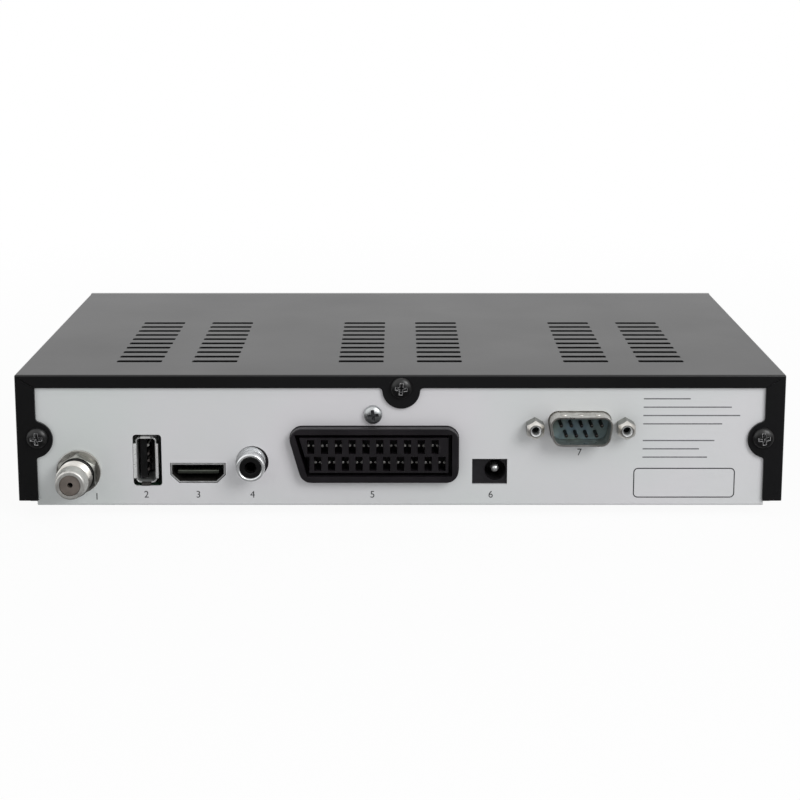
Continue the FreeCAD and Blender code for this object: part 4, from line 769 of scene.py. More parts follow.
def close_tree(tree: bpy.types.NodeTree, shape: bpy.types.NodeSocket, finish: bpy.types.NodeSocket,
               painted: bpy.types.NodeSocket | bool = True) -> None:
    """End a tree: realise its instances, set the material and send it out.

    Args:
        tree: The tree.
        shape: What it has made.
        finish: The material that it is given.
        painted: Whether the material is set, or the piece keeps those that it came with.
    """
    real = add_node(tree, "GeometryNodeRealizeInstances", {"Geometry": shape})
    coated = add_node(tree, "GeometryNodeSetMaterial", {"Geometry": real.outputs[0], "Material": finish,
                                                        "Selection": painted})
    add_node(tree, "NodeGroupOutput", {0: coated.outputs[0]})


def scatter_tree() -> bpy.types.NodeTree:
    """Return the tree that puts one piece at each vertex, turned and stretched by its attributes."""
    tree, given = new_tree("scatter", Piece="Object", Finish="Material", Painted="Bool")
    piece = add_node(tree, "GeometryNodeObjectInfo", {"Object": given.outputs["Piece"]})
    turn = add_node(tree, "GeometryNodeInputNamedAttribute", {"Name": "turn"}, data_type="FLOAT_VECTOR")
    stretch = add_node(tree, "GeometryNodeInputNamedAttribute", {"Name": "stretch"},
                       data_type="FLOAT_VECTOR")
    placed = add_node(tree, "GeometryNodeInstanceOnPoints", {
        "Points": given.outputs["Geometry"], "Instance": piece.outputs["Geometry"],
        "Rotation": turn.outputs["Attribute"], "Scale": stretch.outputs["Attribute"]})
    close_tree(tree, placed.outputs[0], given.outputs["Finish"], given.outputs["Painted"])
    return tree


def thread_tree() -> bpy.types.NodeTree:
    """Return the tree that sweeps a pointed ridge along a helix about the Y axis."""
    tree, given = new_tree("thread", Radius="Float", Pitch="Float", Turns="Float", Ridge="Float",
                           Start="Vector", Finish="Material")
    height = add_node(tree, "ShaderNodeMath", {0: given.outputs["Pitch"], 1: given.outputs["Turns"]},
                      operation="MULTIPLY")
    helix = add_node(tree, "GeometryNodeCurveSpiral", {
        "Resolution": 48, "Rotations": given.outputs["Turns"], "Start Radius": given.outputs["Radius"],
        "End Radius": given.outputs["Radius"], "Height": height.outputs[0]})
    upright = add_node(tree, "GeometryNodeSetCurveNormal", {"Curve": helix.outputs[0]}, mode="Z_UP")
    ridge = add_node(tree, "GeometryNodeCurvePrimitiveCircle", {"Resolution": 4,
                                                                "Radius": given.outputs["Ridge"]})
    swept = add_node(tree, "GeometryNodeCurveToMesh", {
        "Curve": upright.outputs[0], "Profile Curve": ridge.outputs[0], "Fill Caps": True})
    laid = add_node(tree, "GeometryNodeTransform", {
        "Geometry": swept.outputs[0], "Rotation": (-math.pi / 2, 0.0, 0.0),
        "Translation": given.outputs["Start"]})
    close_tree(tree, laid.outputs[0], given.outputs["Finish"])
    return tree


def grown(base: bpy.types.Object, tree: bpy.types.NodeTree, values: dict[str, Any]) -> bpy.types.Object:
    """Run a geometry tree on an object and keep the result as a plain mesh.

    Args:
        base: The object that the tree starts from.
        tree: The tree.
        values: Input name to value, in metres.

    Returns:
        The same object with the new mesh.
    """
    modifier = base.modifiers.new(tree.name, "NODES")
    modifier.node_group = tree
    for item in tree.interface.items_tree:
        if item.in_out == "INPUT" and item.name in values:
            modifier[item.identifier] = values[item.name]
    return settled(base)


def scattered(name: str, piece: bpy.types.Object, finish: Finish | None, places: Sequence[Point],
              turns: Sequence[Point] = (), stretches: Sequence[Point] = ()) -> bpy.types.Object:
    """Put copies of a piece at places, as one mesh, and remove the piece.

    Args:
        name: The result's name.
        piece: The piece, drawn about the origin.
        finish: Its finish, or None where the piece has its materials already.
        places: Where the copies go, in millimetres.
        turns: Euler angles for each copy, or nothing.
        stretches: Scale for each copy, or nothing.

    Returns:
        The copies.
    """
    mesh = bpy.data.meshes.new(name)
    mesh.from_pydata([Vector(p) * MM for p in places], [], [])
    for label, given, usual in (("turn", turns, (0.0, 0.0, 0.0)), ("stretch", stretches, (1.0, 1.0, 1.0))):
        values = mesh.attributes.new(label, "FLOAT_VECTOR", "POINT")
        flat = [number for row in (given or [usual] * len(places)) for number in row]
        values.data.foreach_set("vector", flat)
    tree = bpy.data.node_groups.get("scatter") or scatter_tree()
    made = grown(add_object(name, mesh), tree, {
        "Piece": piece, "Finish": (finish or INK).material(), "Painted": finish is not None})
    removed(piece)
    return made


# ---------------------------------------------------------------- sub-assemblies


@dataclass
class CaseShell:
    """Cover, tray, rear panel, bezel and feet: bent, punched or moulded shells with real edges."""

    sheet_edge: float = 0.12
    punched_edge: float = 0.16
    moulded_edge: float = 0.25
    foot_edge: float = 0.4
    window_edge: float = 0.2

    def build(self) -> None:
        """Dress every shell."""
        dressed("top_cover", POWDER_COAT, self.sheet_edge)
        dressed("base_tray", ZINC, self.sheet_edge)
        # The panel's rounded punched edges carry the painted highlight.
        dressed("rear_panel", PANEL_PAINT, self.punched_edge, edge=PUNCHED_EDGE_HIGHLIGHT)
        dressed("front_bezel", GLOSS_ABS, self.moulded_edge)
        dressed("feet", RUBBER, self.foot_edge, segments=3)
        dressed("display_window", SMOKED_ACRYLIC, self.window_edge)


@dataclass
class CrossScrews:
    """Pan-head screws with a tapered cross recess."""

    head_height: float = 1.8
    side_share: float = 0.3
    recess_width: float = 1.0
    recess_length: float = 3.7
    recess_depth: float = 1.4
    recess_taper: float = 0.6
    mouth: float = 0.3
    shank: float = 1.1
    edge: float = 0.13
    first_turn: float = 6.0
    next_turn: float = -6.0

    def screw(self, radius: float, length: float, edge: Finish | None) -> bpy.types.Object:
        """Make one screw about the origin, with its seat at y = 0.

        Args:
            radius: The head's radius.
            length: How far the shank reaches.
            edge: The finish of the recess's edges, or None for the head's own.

        Returns:
            The screw.
        """
        height = self.head_height
        side = height * self.side_share
        dome = arc((0, side), (radius, height - side), 0, 90, 8)
        profile = [(-length, 0.0), (-length, self.shank), (0.0, self.shank), (0.0, radius)]
        profile += [(along, around) for around, along in dome[:-1]] + [(height, 0.0)]
        head = piece_from(lathe(profile, steps=40), "screw")
        head.data.materials.append(BLACK_OXIDE.material() if edge else ZINC.material())
        arm, half = self.recess_length / 2, self.recess_width / 2
        cross = [(arm, -half), (arm, half), (half, half), (half, arm), (-half, arm), (-half, half),
                 (-arm, half), (-arm, -half), (-half, -half), (-half, -arm), (half, -arm), (half, -half)]
        tool = piece_from(prism(cross, (height + self.mouth, height - self.recess_depth),
                                self.recess_taper), "recess")
        # The faces that the recess cuts take this finish: in the bright screw, painted shade.
        tool.data.materials.append(BLACK_OXIDE.material() if edge else RECESS_SHADE.material())
        carved(head, tool)
        # The rounded edges take the edge finish: on the black screws, worn steel with painted glints.
        return softened(head, self.edge, 1, 30, edge)

    def build(self) -> None:
        """Make the cover's black screws and the socket's bright one."""
        for node, finish, edge in (("cover_screws", BLACK_OXIDE, WORN_OXIDE_AND_GLINT), ("socket_screw", ZINC, None)):
            found = solids(node)
            seat = found[0].high.y - self.head_height
            one = self.screw(found[0].size.x / 2, seat - found[0].low.y, edge)
            turns = [(0.0, math.radians(self.first_turn + self.next_turn * i), 0.0) for i in range(len(found))]
            places = [(s.centre.x, seat, s.centre.z) for s in found]
            heads = scattered(node + "_shape", one, None, places, turns)
            finished(heads, finish, stands_for=[node])


@dataclass
class AerialConnector:
    """Threaded barrel with its washer, chamfered nut and insulator."""

    pitch: float = 0.794
    ridge: float = 0.3
    core: float = 4.46
    lead: float = 3.2
    lead_radius: float = 4.1
    round_tip: tuple[float, float] = (0.8, 0.55)
    bore_gap: float = 0.05
    run_out: float = 0.3
    chamfer: float = 0.7
    face_share: float = 0.97
    countersink: float = 0.22
    shaded: float = 1.3
    nut_edge: float = 0.12
    washer_edge: float = 0.25
    insulator_edge: float = 0.12
    contact_edge: float = 0.1

    def barrel(self) -> None:
        """Make the barrel: a turned core with a helical ridge."""
        span = span_of("aerial_barrel")
        mouth = span_of("aerial_insulator")
        x, z, radius = span.centre.x, span.centre.z, span.size.x / 2
        bore = mouth.size.x / 2 + self.bore_gap
        tip = span.high.y
        lead_start = tip - self.lead
        along, inwards = self.round_tip
        profile = [(span.low.y, bore), (span.low.y, self.core), (lead_start, self.core)]
        profile += arc((tip - along, self.lead_radius - inwards), self.round_tip, 90, 0, 6)
        profile += [(tip, bore)]
        core = piece_from(lathe(profile, x, z), "barrel_core")
        start = span_of("aerial_washer").low.y
        length = lead_start - self.run_out - start
        seed = add_object("barrel_thread", bpy.data.meshes.new("seed"))
        thread = grown(seed, thread_tree(), {
            "Radius": (radius - self.ridge) * MM, "Pitch": self.pitch * MM, "Turns": length / self.pitch,
            "Ridge": self.ridge * MM, "Start": (x * MM, start * MM, z * MM), "Finish": NICKEL.material()})
        painted(core, NICKEL, FACED_END_AND_EDGE_HIGHLIGHT, lambda middle, _: middle.y > lead_start)
        # The thread's last turns before the nut are painted dark, as shade.
        shade_end = span_of("aerial_nut").high.y + self.shaded
        painted(thread, NICKEL, THREAD_SHADE, lambda middle, _: middle.y < shade_end)
        finished(core, NICKEL, stands_for=["aerial_barrel"])
        finished(thread, NICKEL)

    def nut(self) -> None:
        """Make the hexagon nut with both faces chamfered and its thread countersunk."""
        span = span_of("aerial_nut")
        x, z, flats = span.centre.x, span.centre.z, span.size.x
        block = piece_from(shifted(prism(hexagon(flats), (span.low.y, span.high.y)), (x, 0, z)),
                           "aerial_nut_shape")
        face = flats / 2 * self.face_share
        full = face + self.chamfer * math.sqrt(3)
        lens = [(span.low.y, 0.0), (span.low.y, face), (span.low.y + self.chamfer, full),
                (span.high.y - self.chamfer, full), (span.high.y, face), (span.high.y, 0.0)]
        carved(block, piece_from(lathe(lens, x, z, 96), "lens"), "INTERSECT")
        bore = span_of("aerial_barrel").size.x / 2 + self.bore_gap
        mouth = bore + self.countersink
        hole = [(span.low.y - 1, 0.0), (span.low.y - 1, bore), (span.high.y - self.countersink, bore),
                (span.high.y, mouth), (span.high.y + 1, mouth), (span.high.y + 1, 0.0)]
        block.data.materials.append(SHADED_NICKEL.material())
        tool = piece_from(lathe(hole, x, z, 96), "bore")
        # The faces that the bore cuts, its countersink with them, are painted near black as shade.
        tool.data.materials.append(THREAD_SHADE.material())
        carved(block, tool)
        # The nut's rounded edges carry the painted highlight.
        softened(block, self.nut_edge, 2, 25, FACED_END_AND_EDGE_HIGHLIGHT)
        finished(block, SHADED_NICKEL, stands_for=["aerial_nut"])

    def build(self) -> None:
        """Make the connector."""
        self.barrel()
        self.nut()
        dressed("aerial_washer", NICKEL, self.washer_edge)
        dressed("aerial_insulator", INSULATOR, self.insulator_edge)
        dressed("aerial_contact", RUBBED_AND_SHADED_CONTACT, self.contact_edge)


@dataclass
class SpringLeaf:
    """A stamped contact leaf that bulges near its mouth."""

    thickness: float
    width: float
    length: float
    bulge: float
    bulge_back: float
    bulge_reach: float
    steps: int = 10

    def piece(self) -> bpy.types.Object:
        """Make the leaf from y = -length to y = 0, bulging to -X, about the middle of its width."""
        line = [(0.0, -self.length)]
        for i in range(self.steps + 1):
            share = i / self.steps
            wave = (1 - math.cos(math.tau * share)) / 2
            along = -self.bulge_back - self.bulge_reach / 2 + self.bulge_reach * share
            line.append((-self.bulge * wave, along))
        line.append((0.0, 0.0))
        mesh = bmesh.new()
        half = self.width / 2
        sides = []
        for z in (-half, half):
            sides.append([mesh.verts.new((x - self.thickness / 2, y, z)) for x, y in line])
            sides.append([mesh.verts.new((x + self.thickness / 2, y, z)) for x, y in line])
        low_left, low_right, high_left, high_right = sides
        for i in range(len(line) - 1):
            for a, b in ((low_left, low_right), (low_right, high_right), (high_right, high_left),
                         (high_left, low_left)):
                mesh.faces.new((a[i], a[i + 1], b[i + 1], b[i]))
        for i in (0, -1):
            mesh.faces.new((low_left[i], low_right[i], high_right[i], high_left[i]))
        return softened(piece_from(mesh, "leaf"), self.thickness / 4, 1, 40)


@dataclass
class DataSocket:
    """Upright data socket: shell with four flared lips, tongue and four springs that bulge to -X."""

    bulge: float = 0.3
    bulge_back: float = 0.6
    bulge_reach: float = 1.1
    spring_share: float = 0.75
    tongue_edge: float = 0.15
    inner: tuple[float, float] = (5.1, 12.4)
    wall: float = 0.3
    corner: float = 0.9
    lip_depth: float = 0.8
    lip_wall: float = 0.22
    lip_inset: float = 1.25

    def lip(self, side: int, wide: float, tall: float, reach: float) -> bmesh.types.BMesh:
        """Draw the lip on the side towards +X of a mouth at y = 0.

        Args:
            side: Quarter turns from +X.
            wide: The mouth's half size towards the lip.
            tall: Half the length of the mouth's side.
            reach: How far the lip stands out.

        Returns:
            The drawing, turned to its side.
        """
        line = [(wide + reach - reach * math.cos(a), self.lip_depth * (math.sin(a) - 1))
                for a in (math.radians(15 * i) for i in range(7))]
        back = [(x, y - self.lip_wall) for x, y in reversed(line)]
        half = tall - self.lip_inset
        mesh = bmesh.new()
        ends = [[mesh.verts.new((x, y, z)) for x, y in line + back] for z in (-half, half)]
        for end in ends:
            mesh.faces.new(end)
        for i in range(len(ends[0])):
            mesh.faces.new((ends[0][i - 1], ends[0][i], ends[1][i], ends[1][i - 1]))
        bmesh.ops.rotate(mesh, matrix=Matrix.Rotation(side * math.pi / 2, 3, "Y"), verts=mesh.verts)
        return mesh

    def shell(self) -> None:
        """Make the shell: a folded tube whose mouth ends in four lips."""
        span = span_of("data_socket_shell")
        wide, tall = (size / 2 for size in self.inner)
        lip_y = span.high.y
        tube = frame_ring(rounded(2 * (wide + self.wall), 2 * (tall + self.wall), self.corner + self.wall),
                          rounded(2 * wide, 2 * tall, self.corner), (span.low.y, lip_y - self.lip_depth))
        place = (span.centre.x, 0, span.centre.z)
        body = piece_from(shifted(tube, place), "data_socket_tube")
        finished(softened(body, self.wall / 4, 1), SATIN_PLATE, stands_for=["data_socket_shell"])
        lips = [self.lip(side, wide, tall, span.size.x / 2 - wide) for side in (0, 2)]
        lips += [self.lip(side, tall, wide, span.size.z / 2 - tall) for side in (1, 3)]
        flared = piece_from(shifted(joined(*lips), (span.centre.x, lip_y, span.centre.z)), "data_socket_lips")
        softened(flared, self.lip_wall / 4, 1)
        # The lowest lip is painted darker.
        lowest = span.centre.z - tall + self.lip_wall
        painted(flared, BURNISHED_LIP, DARK_PLATE, lambda middle, _: middle.z < lowest)
        finished(flared, BURNISHED_LIP)

    def build(self) -> None:
        """Make the socket's pieces."""
        self.shell()
        dressed("data_socket_tongue", CARBON_BLACK, self.tongue_edge)
        found = solids("data_socket_contacts")
        size = found[0].size
        leaf = SpringLeaf(size.x, size.z * self.spring_share, size.y, self.bulge, self.bulge_back,
                          self.bulge_reach).piece()
        places = [(s.centre.x, s.high.y, s.centre.z) for s in found]
        springs = scattered("data_socket_springs", leaf, TINNED_SPRING, places)
        # The top spring keeps the bright tin; the three below it are painted in shade.
        highest = found[-1].low.z
        painted(springs, TINNED_SPRING, SHADED_SPRING, lambda middle, _: middle.z < highest)
        finished(springs, TINNED_SPRING, stands_for=["data_socket_contacts"])


@dataclass
class VideoSocket:
    """Video socket: folded shell, painted in shade inside, with a tongue whose upper front edge has a painted
    highlight.
    """

    shell_edge: float = 0.1
    unshaded_rim: float = 0.15
    tongue_edge: float = 0.3
    upward: float = 0.1
    contact_edge: float = 0.05

    def build(self) -> None:
        """Dress the socket."""
        shell = dressed("video_socket_shell", SATIN_PLATE, self.shell_edge)
        span = span_of("video_socket_shell")
        # The shell's inner faces behind its rim are painted dark, as shade.
        painted(shell, SATIN_PLATE, DARK_PLATE, lambda middle, normal: (
            middle.y < span.high.y - self.unshaded_rim and normal.dot(middle - span.centre) < 0))
        tongue = dressed("video_socket_tongue", OLIVE_NYLON, self.tongue_edge)
        front = span_of("video_socket_tongue").high.y - self.tongue_edge
        # The upward-leaning faces of the tongue's front edge take the painted highlight.
        painted(tongue, OLIVE_NYLON, OLIVE_EDGE_HIGHLIGHT, lambda middle, normal: (
            middle.y > front and self.upward < normal.z < 1 - self.upward))
        dressed("video_socket_contacts", RUBBED_AND_SHADED_CONTACT, self.contact_edge, segments=1)


@dataclass
class PhonoSocket:
    """Coaxial socket: tube with a thick rolled lip, loose foot, black insulator and centre contact."""

    lip: float = 0.55
    lip_rise: float = 0.4
    foot_radius: float = 4.07
    foot_reach: float = 0.04
    foot_sink: float = 0.1
    foot_shift: tuple[float, float] = (0.39, 0.25)
    bore_gap: float = 0.04
    insulator_edge: float = 0.2

    def build(self) -> None:
        """Make the barrel and its foot, and dress the rest."""
        span = span_of("phono_barrel")
        x, z, radius = span.centre.x, span.centre.z, span.size.x / 2
        bore = span_of("phono_insulator").size.x / 2 + self.bore_gap
        tube, tip = radius - self.lip_rise, span.high.y
        middle = (tip - self.lip, (radius + bore) / 2)
        profile = [(span.low.y, bore), (span.low.y, tube), (tip - 2 * self.lip, tube)]
        profile += arc(middle, (self.lip, (radius - bore) / 2), 135, -90, 12)
        barrel = piece_from(lathe(profile, x, z), "phono_barrel_shape")
        finished(barrel, CHROME, stands_for=["phono_barrel"])
        top = span_of("rear_panel").high.y + self.foot_reach
        ring = frame_ring(circle(self.foot_radius, *self.foot_shift), circle(tube - self.foot_sink),
                          (span.low.y, top))
        foot = piece_from(shifted(ring, (x, 0, z)), "phono_foot")
        finished(softened(foot, self.foot_reach / 2, 2), CHROME)
        dressed("phono_insulator", CARBON_BLACK, self.insulator_edge)
        dressed("phono_contact", RUBBED_AND_SHADED_CONTACT, self.insulator_edge / 2)


@dataclass
class AvSocket:
    """Slanted audio and video socket: two rows of slots, each with a pair of leaves."""

    rim: float = 0.9
    edge: float = 0.15
    bulge: float = 0.4
    bulge_back: float = 0.4
    bulge_reach: float = 0.7
    leaf_thickness: float = 0.2
    leaf_share: float = 0.4

    def build(self) -> None:
        """Make the housing and its leaves."""
        dressed("av_socket_housing", NYLON, self.edge, rim=self.rim)
        found = solids("av_socket_contacts")
        size = found[0].size
        leaf = SpringLeaf(self.leaf_thickness, size.z * self.leaf_share, size.y, self.bulge, self.bulge_back,
                          self.bulge_reach).piece()
        places = [(s.centre.x, s.high.y, s.centre.z) for s in found]
        turns = [(0.0, math.pi * (i % 2 == 0), 0.0) for i in range(len(found))]
        leaves = scattered("av_socket_leaves", leaf, TIN, places, turns)
        finished(leaves, TIN, stands_for=["av_socket_contacts"])


@dataclass
class PowerSocket:
    """Low-voltage inlet behind its window."""

    housing_edge: float = 0.1
    nose: float = 0.9

    def build(self) -> None:
        """Dress the housing and make the round-nosed pin."""
        dressed("power_socket_housing", INLET_BLACK, self.housing_edge)
        span = span_of("power_socket_pin")
        radius = span.size.x / 2
        profile = [(span.low.y, 0.0), (span.low.y, radius)]
        profile += arc((span.high.y - self.nose, 0.0), (self.nose, radius), 90, 0, 6)[:-1]
        profile += [(span.high.y, 0.0)]
        pin = piece_from(lathe(profile, span.centre.x, span.centre.z, 32), "power_socket_pin_shape")
        finished(pin, SATIN_PLATE, stands_for=["power_socket_pin"])


@dataclass
class SerialSocket:
    """Nine-pin socket: pressed shell with locking dimples, round-nosed pins, hexagon jackscrews."""

    shell_edge: float = 0.12
    insulator_edge: float = 0.12
    jack_edge: float = 0.12
    jack_chamfer: float = 1.3
    jack_face: float = 1.75
    lit_facing: float = 0.3
    jack_bore: float = 1.15
    jack_mouth: float = 0.3
    stud_radius: float = 1.42
    bore_turns: int = 6
    bore_pitch: float = 0.635
    bore_ridge: float = 0.27
    bright_turns: int = 5
    dimple_radius: float = 0.9
    dimple_height: float = 0.35
    dimple_sink: float = 0.1
    dimple_pitch: float = 4.6
    dimple_back: float = 2.6

    def jack_hole(self, tip: float) -> list[tuple[float, float]]:
        """Return the section of a countersunk tapped hole that opens at a distance along Y."""
        start = tip - self.jack_mouth
        thread = []
        for turn in range(self.bore_turns, 0, -1):
            crest = start - turn * self.bore_pitch
            thread += [(crest, self.jack_bore), (crest + self.bore_pitch / 2, self.jack_bore + self.bore_ridge)]
        mouth = self.jack_bore + self.jack_mouth
        return [(thread[0][0], 0.0)] + thread + [(start, self.jack_bore), (tip, mouth), (tip + 1, mouth),
                                                 (tip + 1, 0.0)]

    def jackscrews(self) -> None:
        """Make the hexagon heads, each with a cone on its mouth and a tapped hole, and their studs."""
        panel = span_of("rear_panel").high.y
        for i, jack in enumerate(solids("serial_jackscrews")):
            x, z, tip, flats = jack.centre.x, jack.centre.z, jack.high.y, jack.size.x
            name = f"serial_jackscrew_{i + 1}"
            head = piece_from(shifted(prism(hexagon(flats), (panel, tip)), (x, 0, z)), name)
            lens = [(panel - 1, 0.0), (panel - 1, flats), (tip - self.jack_chamfer, flats / math.sqrt(3)),
                    (tip, self.jack_face), (tip, 0.0)]
            carved(head, piece_from(lathe(lens, x, z), "lens"), "INTERSECT")
            carved(head, piece_from(lathe(self.jack_hole(tip), x, z, 32), "hole"))
            bright = tip - self.jack_mouth - self.bright_turns * self.bore_pitch
            reach = self.jack_bore + self.jack_mouth
            # Faces that lean towards +Y keep the bright nickel as painted light; the flats keep the painted
            # shade.
            painted(head, SHADED_NICKEL, NICKEL, lambda _, normal: normal.y > self.lit_facing)
            # The hole's mouth and first turns are painted in the brighter satin plate as a highlight, and the
            # deeper turns in painted shade.
            for finish, top in ((SATIN_PLATE, tip - MERGE_MM), (THREAD_SHADE, bright)):
                painted(head, SHADED_NICKEL, finish, lambda middle, _: (
                    middle.y < top and math.hypot(middle.x - x, middle.z - z) < reach))
            # The head's rounded edges carry the painted highlight.
            softened(head, self.jack_edge, 2, 50, FACED_END_AND_EDGE_HIGHLIGHT)
            stud = [(jack.low.y, 0.0), (jack.low.y, self.stud_radius), (panel, self.stud_radius),
                    (panel, 0.0)]
            finished(piece_from(lathe(stud, x, z, 32), name + "_stud"), NICKEL)
            finished(head, SHADED_NICKEL, stands_for=["serial_jackscrews"])

    def build(self) -> None:
        """Make the socket's pieces."""
        dressed("serial_socket_shell", NICKEL, self.shell_edge)
        dressed("serial_socket_insulator", SLATE, self.insulator_edge)
        self.jackscrews()
        self.pins()
        self.dimples()

    def pins(self) -> None:
        """Make the round-nosed pins."""
        found = solids("serial_socket_pins")
        radius = found[0].size.x / 2
        length = found[0].size.y
        nose = [(along - radius, around) for along, around in arc((0, 0), (radius, radius), 90, 0, 5)]
        profile = [(-length, 0.0), (-length, radius)] + nose[:-1] + [(0.0, 0.0)]
        pin = piece_from(lathe(profile, steps=16), "pin")
        places = [(s.centre.x, s.high.y, s.centre.z) for s in found]
        # The pins' dark colour is partly painted shade.
        pins = scattered("serial_socket_round_pins", pin, RUBBED_AND_SHADED_CONTACT, places)
        finished(pins, RUBBED_AND_SHADED_CONTACT, stands_for=["serial_socket_pins"])

    def dimples(self) -> None:
        """Press the three locking dimples into the shell's top."""
        mouth = beyond("serial_socket_shell", span_of("rear_panel").high.y + 2)
        dome = [(around, along) for along, around in arc((0, 0), (self.dimple_radius, self.dimple_height),
                                                         0, 90, 5)]
        profile = [(-self.dimple_sink, 0.0), (-self.dimple_sink, self.dimple_radius)] + dome[:-1]
        profile += [(self.dimple_height, 0.0)]
        bump = lathe(profile, steps=20)
        bmesh.ops.rotate(bump, matrix=Matrix.Rotation(math.pi / 2, 3, "X"), verts=bump.verts)
        places = [(mouth.centre.x + i * self.dimple_pitch, mouth.high.y - self.dimple_back, mouth.high.z)
                  for i in (-1, 0, 1)]
        bumps = scattered("serial_socket_dimples", piece_from(bump, "dimple"), NICKEL, places)
        finished(bumps, NICKEL)


@dataclass
class PanelPrint:
    """Printing on the rear panel: a plain number for each socket, plain rules and an empty frame."""

    numeral_height: float = 1.95
    first_numeral: tuple[float, float] = (84.4, 5.6)
    capital_share: float = 0.7
    level: float = 6.2
    serial_level: float = 18.4
    rules_x: float = -67.1
    rules_top: float = 33.7
    rule_pitch: float = 2.38
    rule_height: float = 0.34
    rules: tuple[tuple[int, float], ...] = ((0, 12.9), (1, 24.3), (2, 26.7), (3, 21.8), (5, 19.8), (6, 15.6),
                                            (7, 17.9))
    frame_centre: tuple[float, float] = (-78.8, 9.65)
    frame_size: tuple[float, float] = (28.2, 8.6)
    frame_radius: float = 1.3
    frame_line: float = 0.3

    def numeral(self, text: str, x: float, z: float, face: float) -> bpy.types.Object:
        """Make one numeral that reads from behind the receiver.

        Args:
            text: The numeral.
            x: Its middle.
            z: Its middle.
            face: Where the panel's face lies along Y.

        Returns:
            The numeral, as a plain mesh.
        """
        curve = bpy.data.curves.new("numeral", "FONT")
        curve.body = text
        curve.size = self.numeral_height / self.capital_share
        curve.extrude = INK_MM / 2
        curve.align_x = "CENTER"
        curve.align_y = "CENTER"
        drawn = bpy.data.objects.new("numeral_" + text, curve)
        bpy.context.scene.collection.objects.link(drawn)
        shape = drawn.evaluated_get(bpy.context.evaluated_depsgraph_get())
        mesh = bpy.data.meshes.new_from_object(shape)
        removed(drawn)
        reads_from_behind = Matrix(((-1, 0, 0, x), (0, 0, 1, face + INK_MM / 2), (0, 1, 0, z), (0, 0, 0, 1)))
        mesh.transform(Matrix.Scale(MM, 4) @ reads_from_behind)
        return add_object("numeral_" + text, mesh)

    def build(self) -> None:
        """Print the panel."""
        face = span_of("rear_panel").high.y
        finished(self.numeral("1", *self.first_numeral, face), INK)
        below = {"2": "data_socket_shell", "3": "video_socket_shell", "4": "phono_barrel",
                 "5": "av_socket_housing", "6": "power_socket_housing"}
        for text, node in below.items():
            finished(self.numeral(text, span_of(node).centre.x, self.level, face), INK)
        finished(self.numeral("7", span_of("serial_socket_shell").centre.x, self.serial_level, face), INK)
        slab = piece_from(prism([(-1, -self.rule_height / 2), (0, -self.rule_height / 2),
                                 (0, self.rule_height / 2), (-1, self.rule_height / 2)],
                                (face, face + INK_MM)), "rule")
        places = [(self.rules_x, 0.0, self.rules_top - row * self.rule_pitch) for row, _ in self.rules]
        stretches = [(length, 1.0, 1.0) for _, length in self.rules]
        finished(scattered("printed_rules", slab, PALE_INK, places, stretches=stretches), PALE_INK)
        wide, tall = self.frame_size
        line = self.frame_line
        ring = frame_ring(rounded(wide, tall, self.frame_radius),
                          rounded(wide - 2 * line, tall - 2 * line, self.frame_radius - line),
                          (face, face + INK_MM))
        x, z = self.frame_centre
        finished(piece_from(shifted(ring, (x, 0, z)), "printed_frame"), INK)


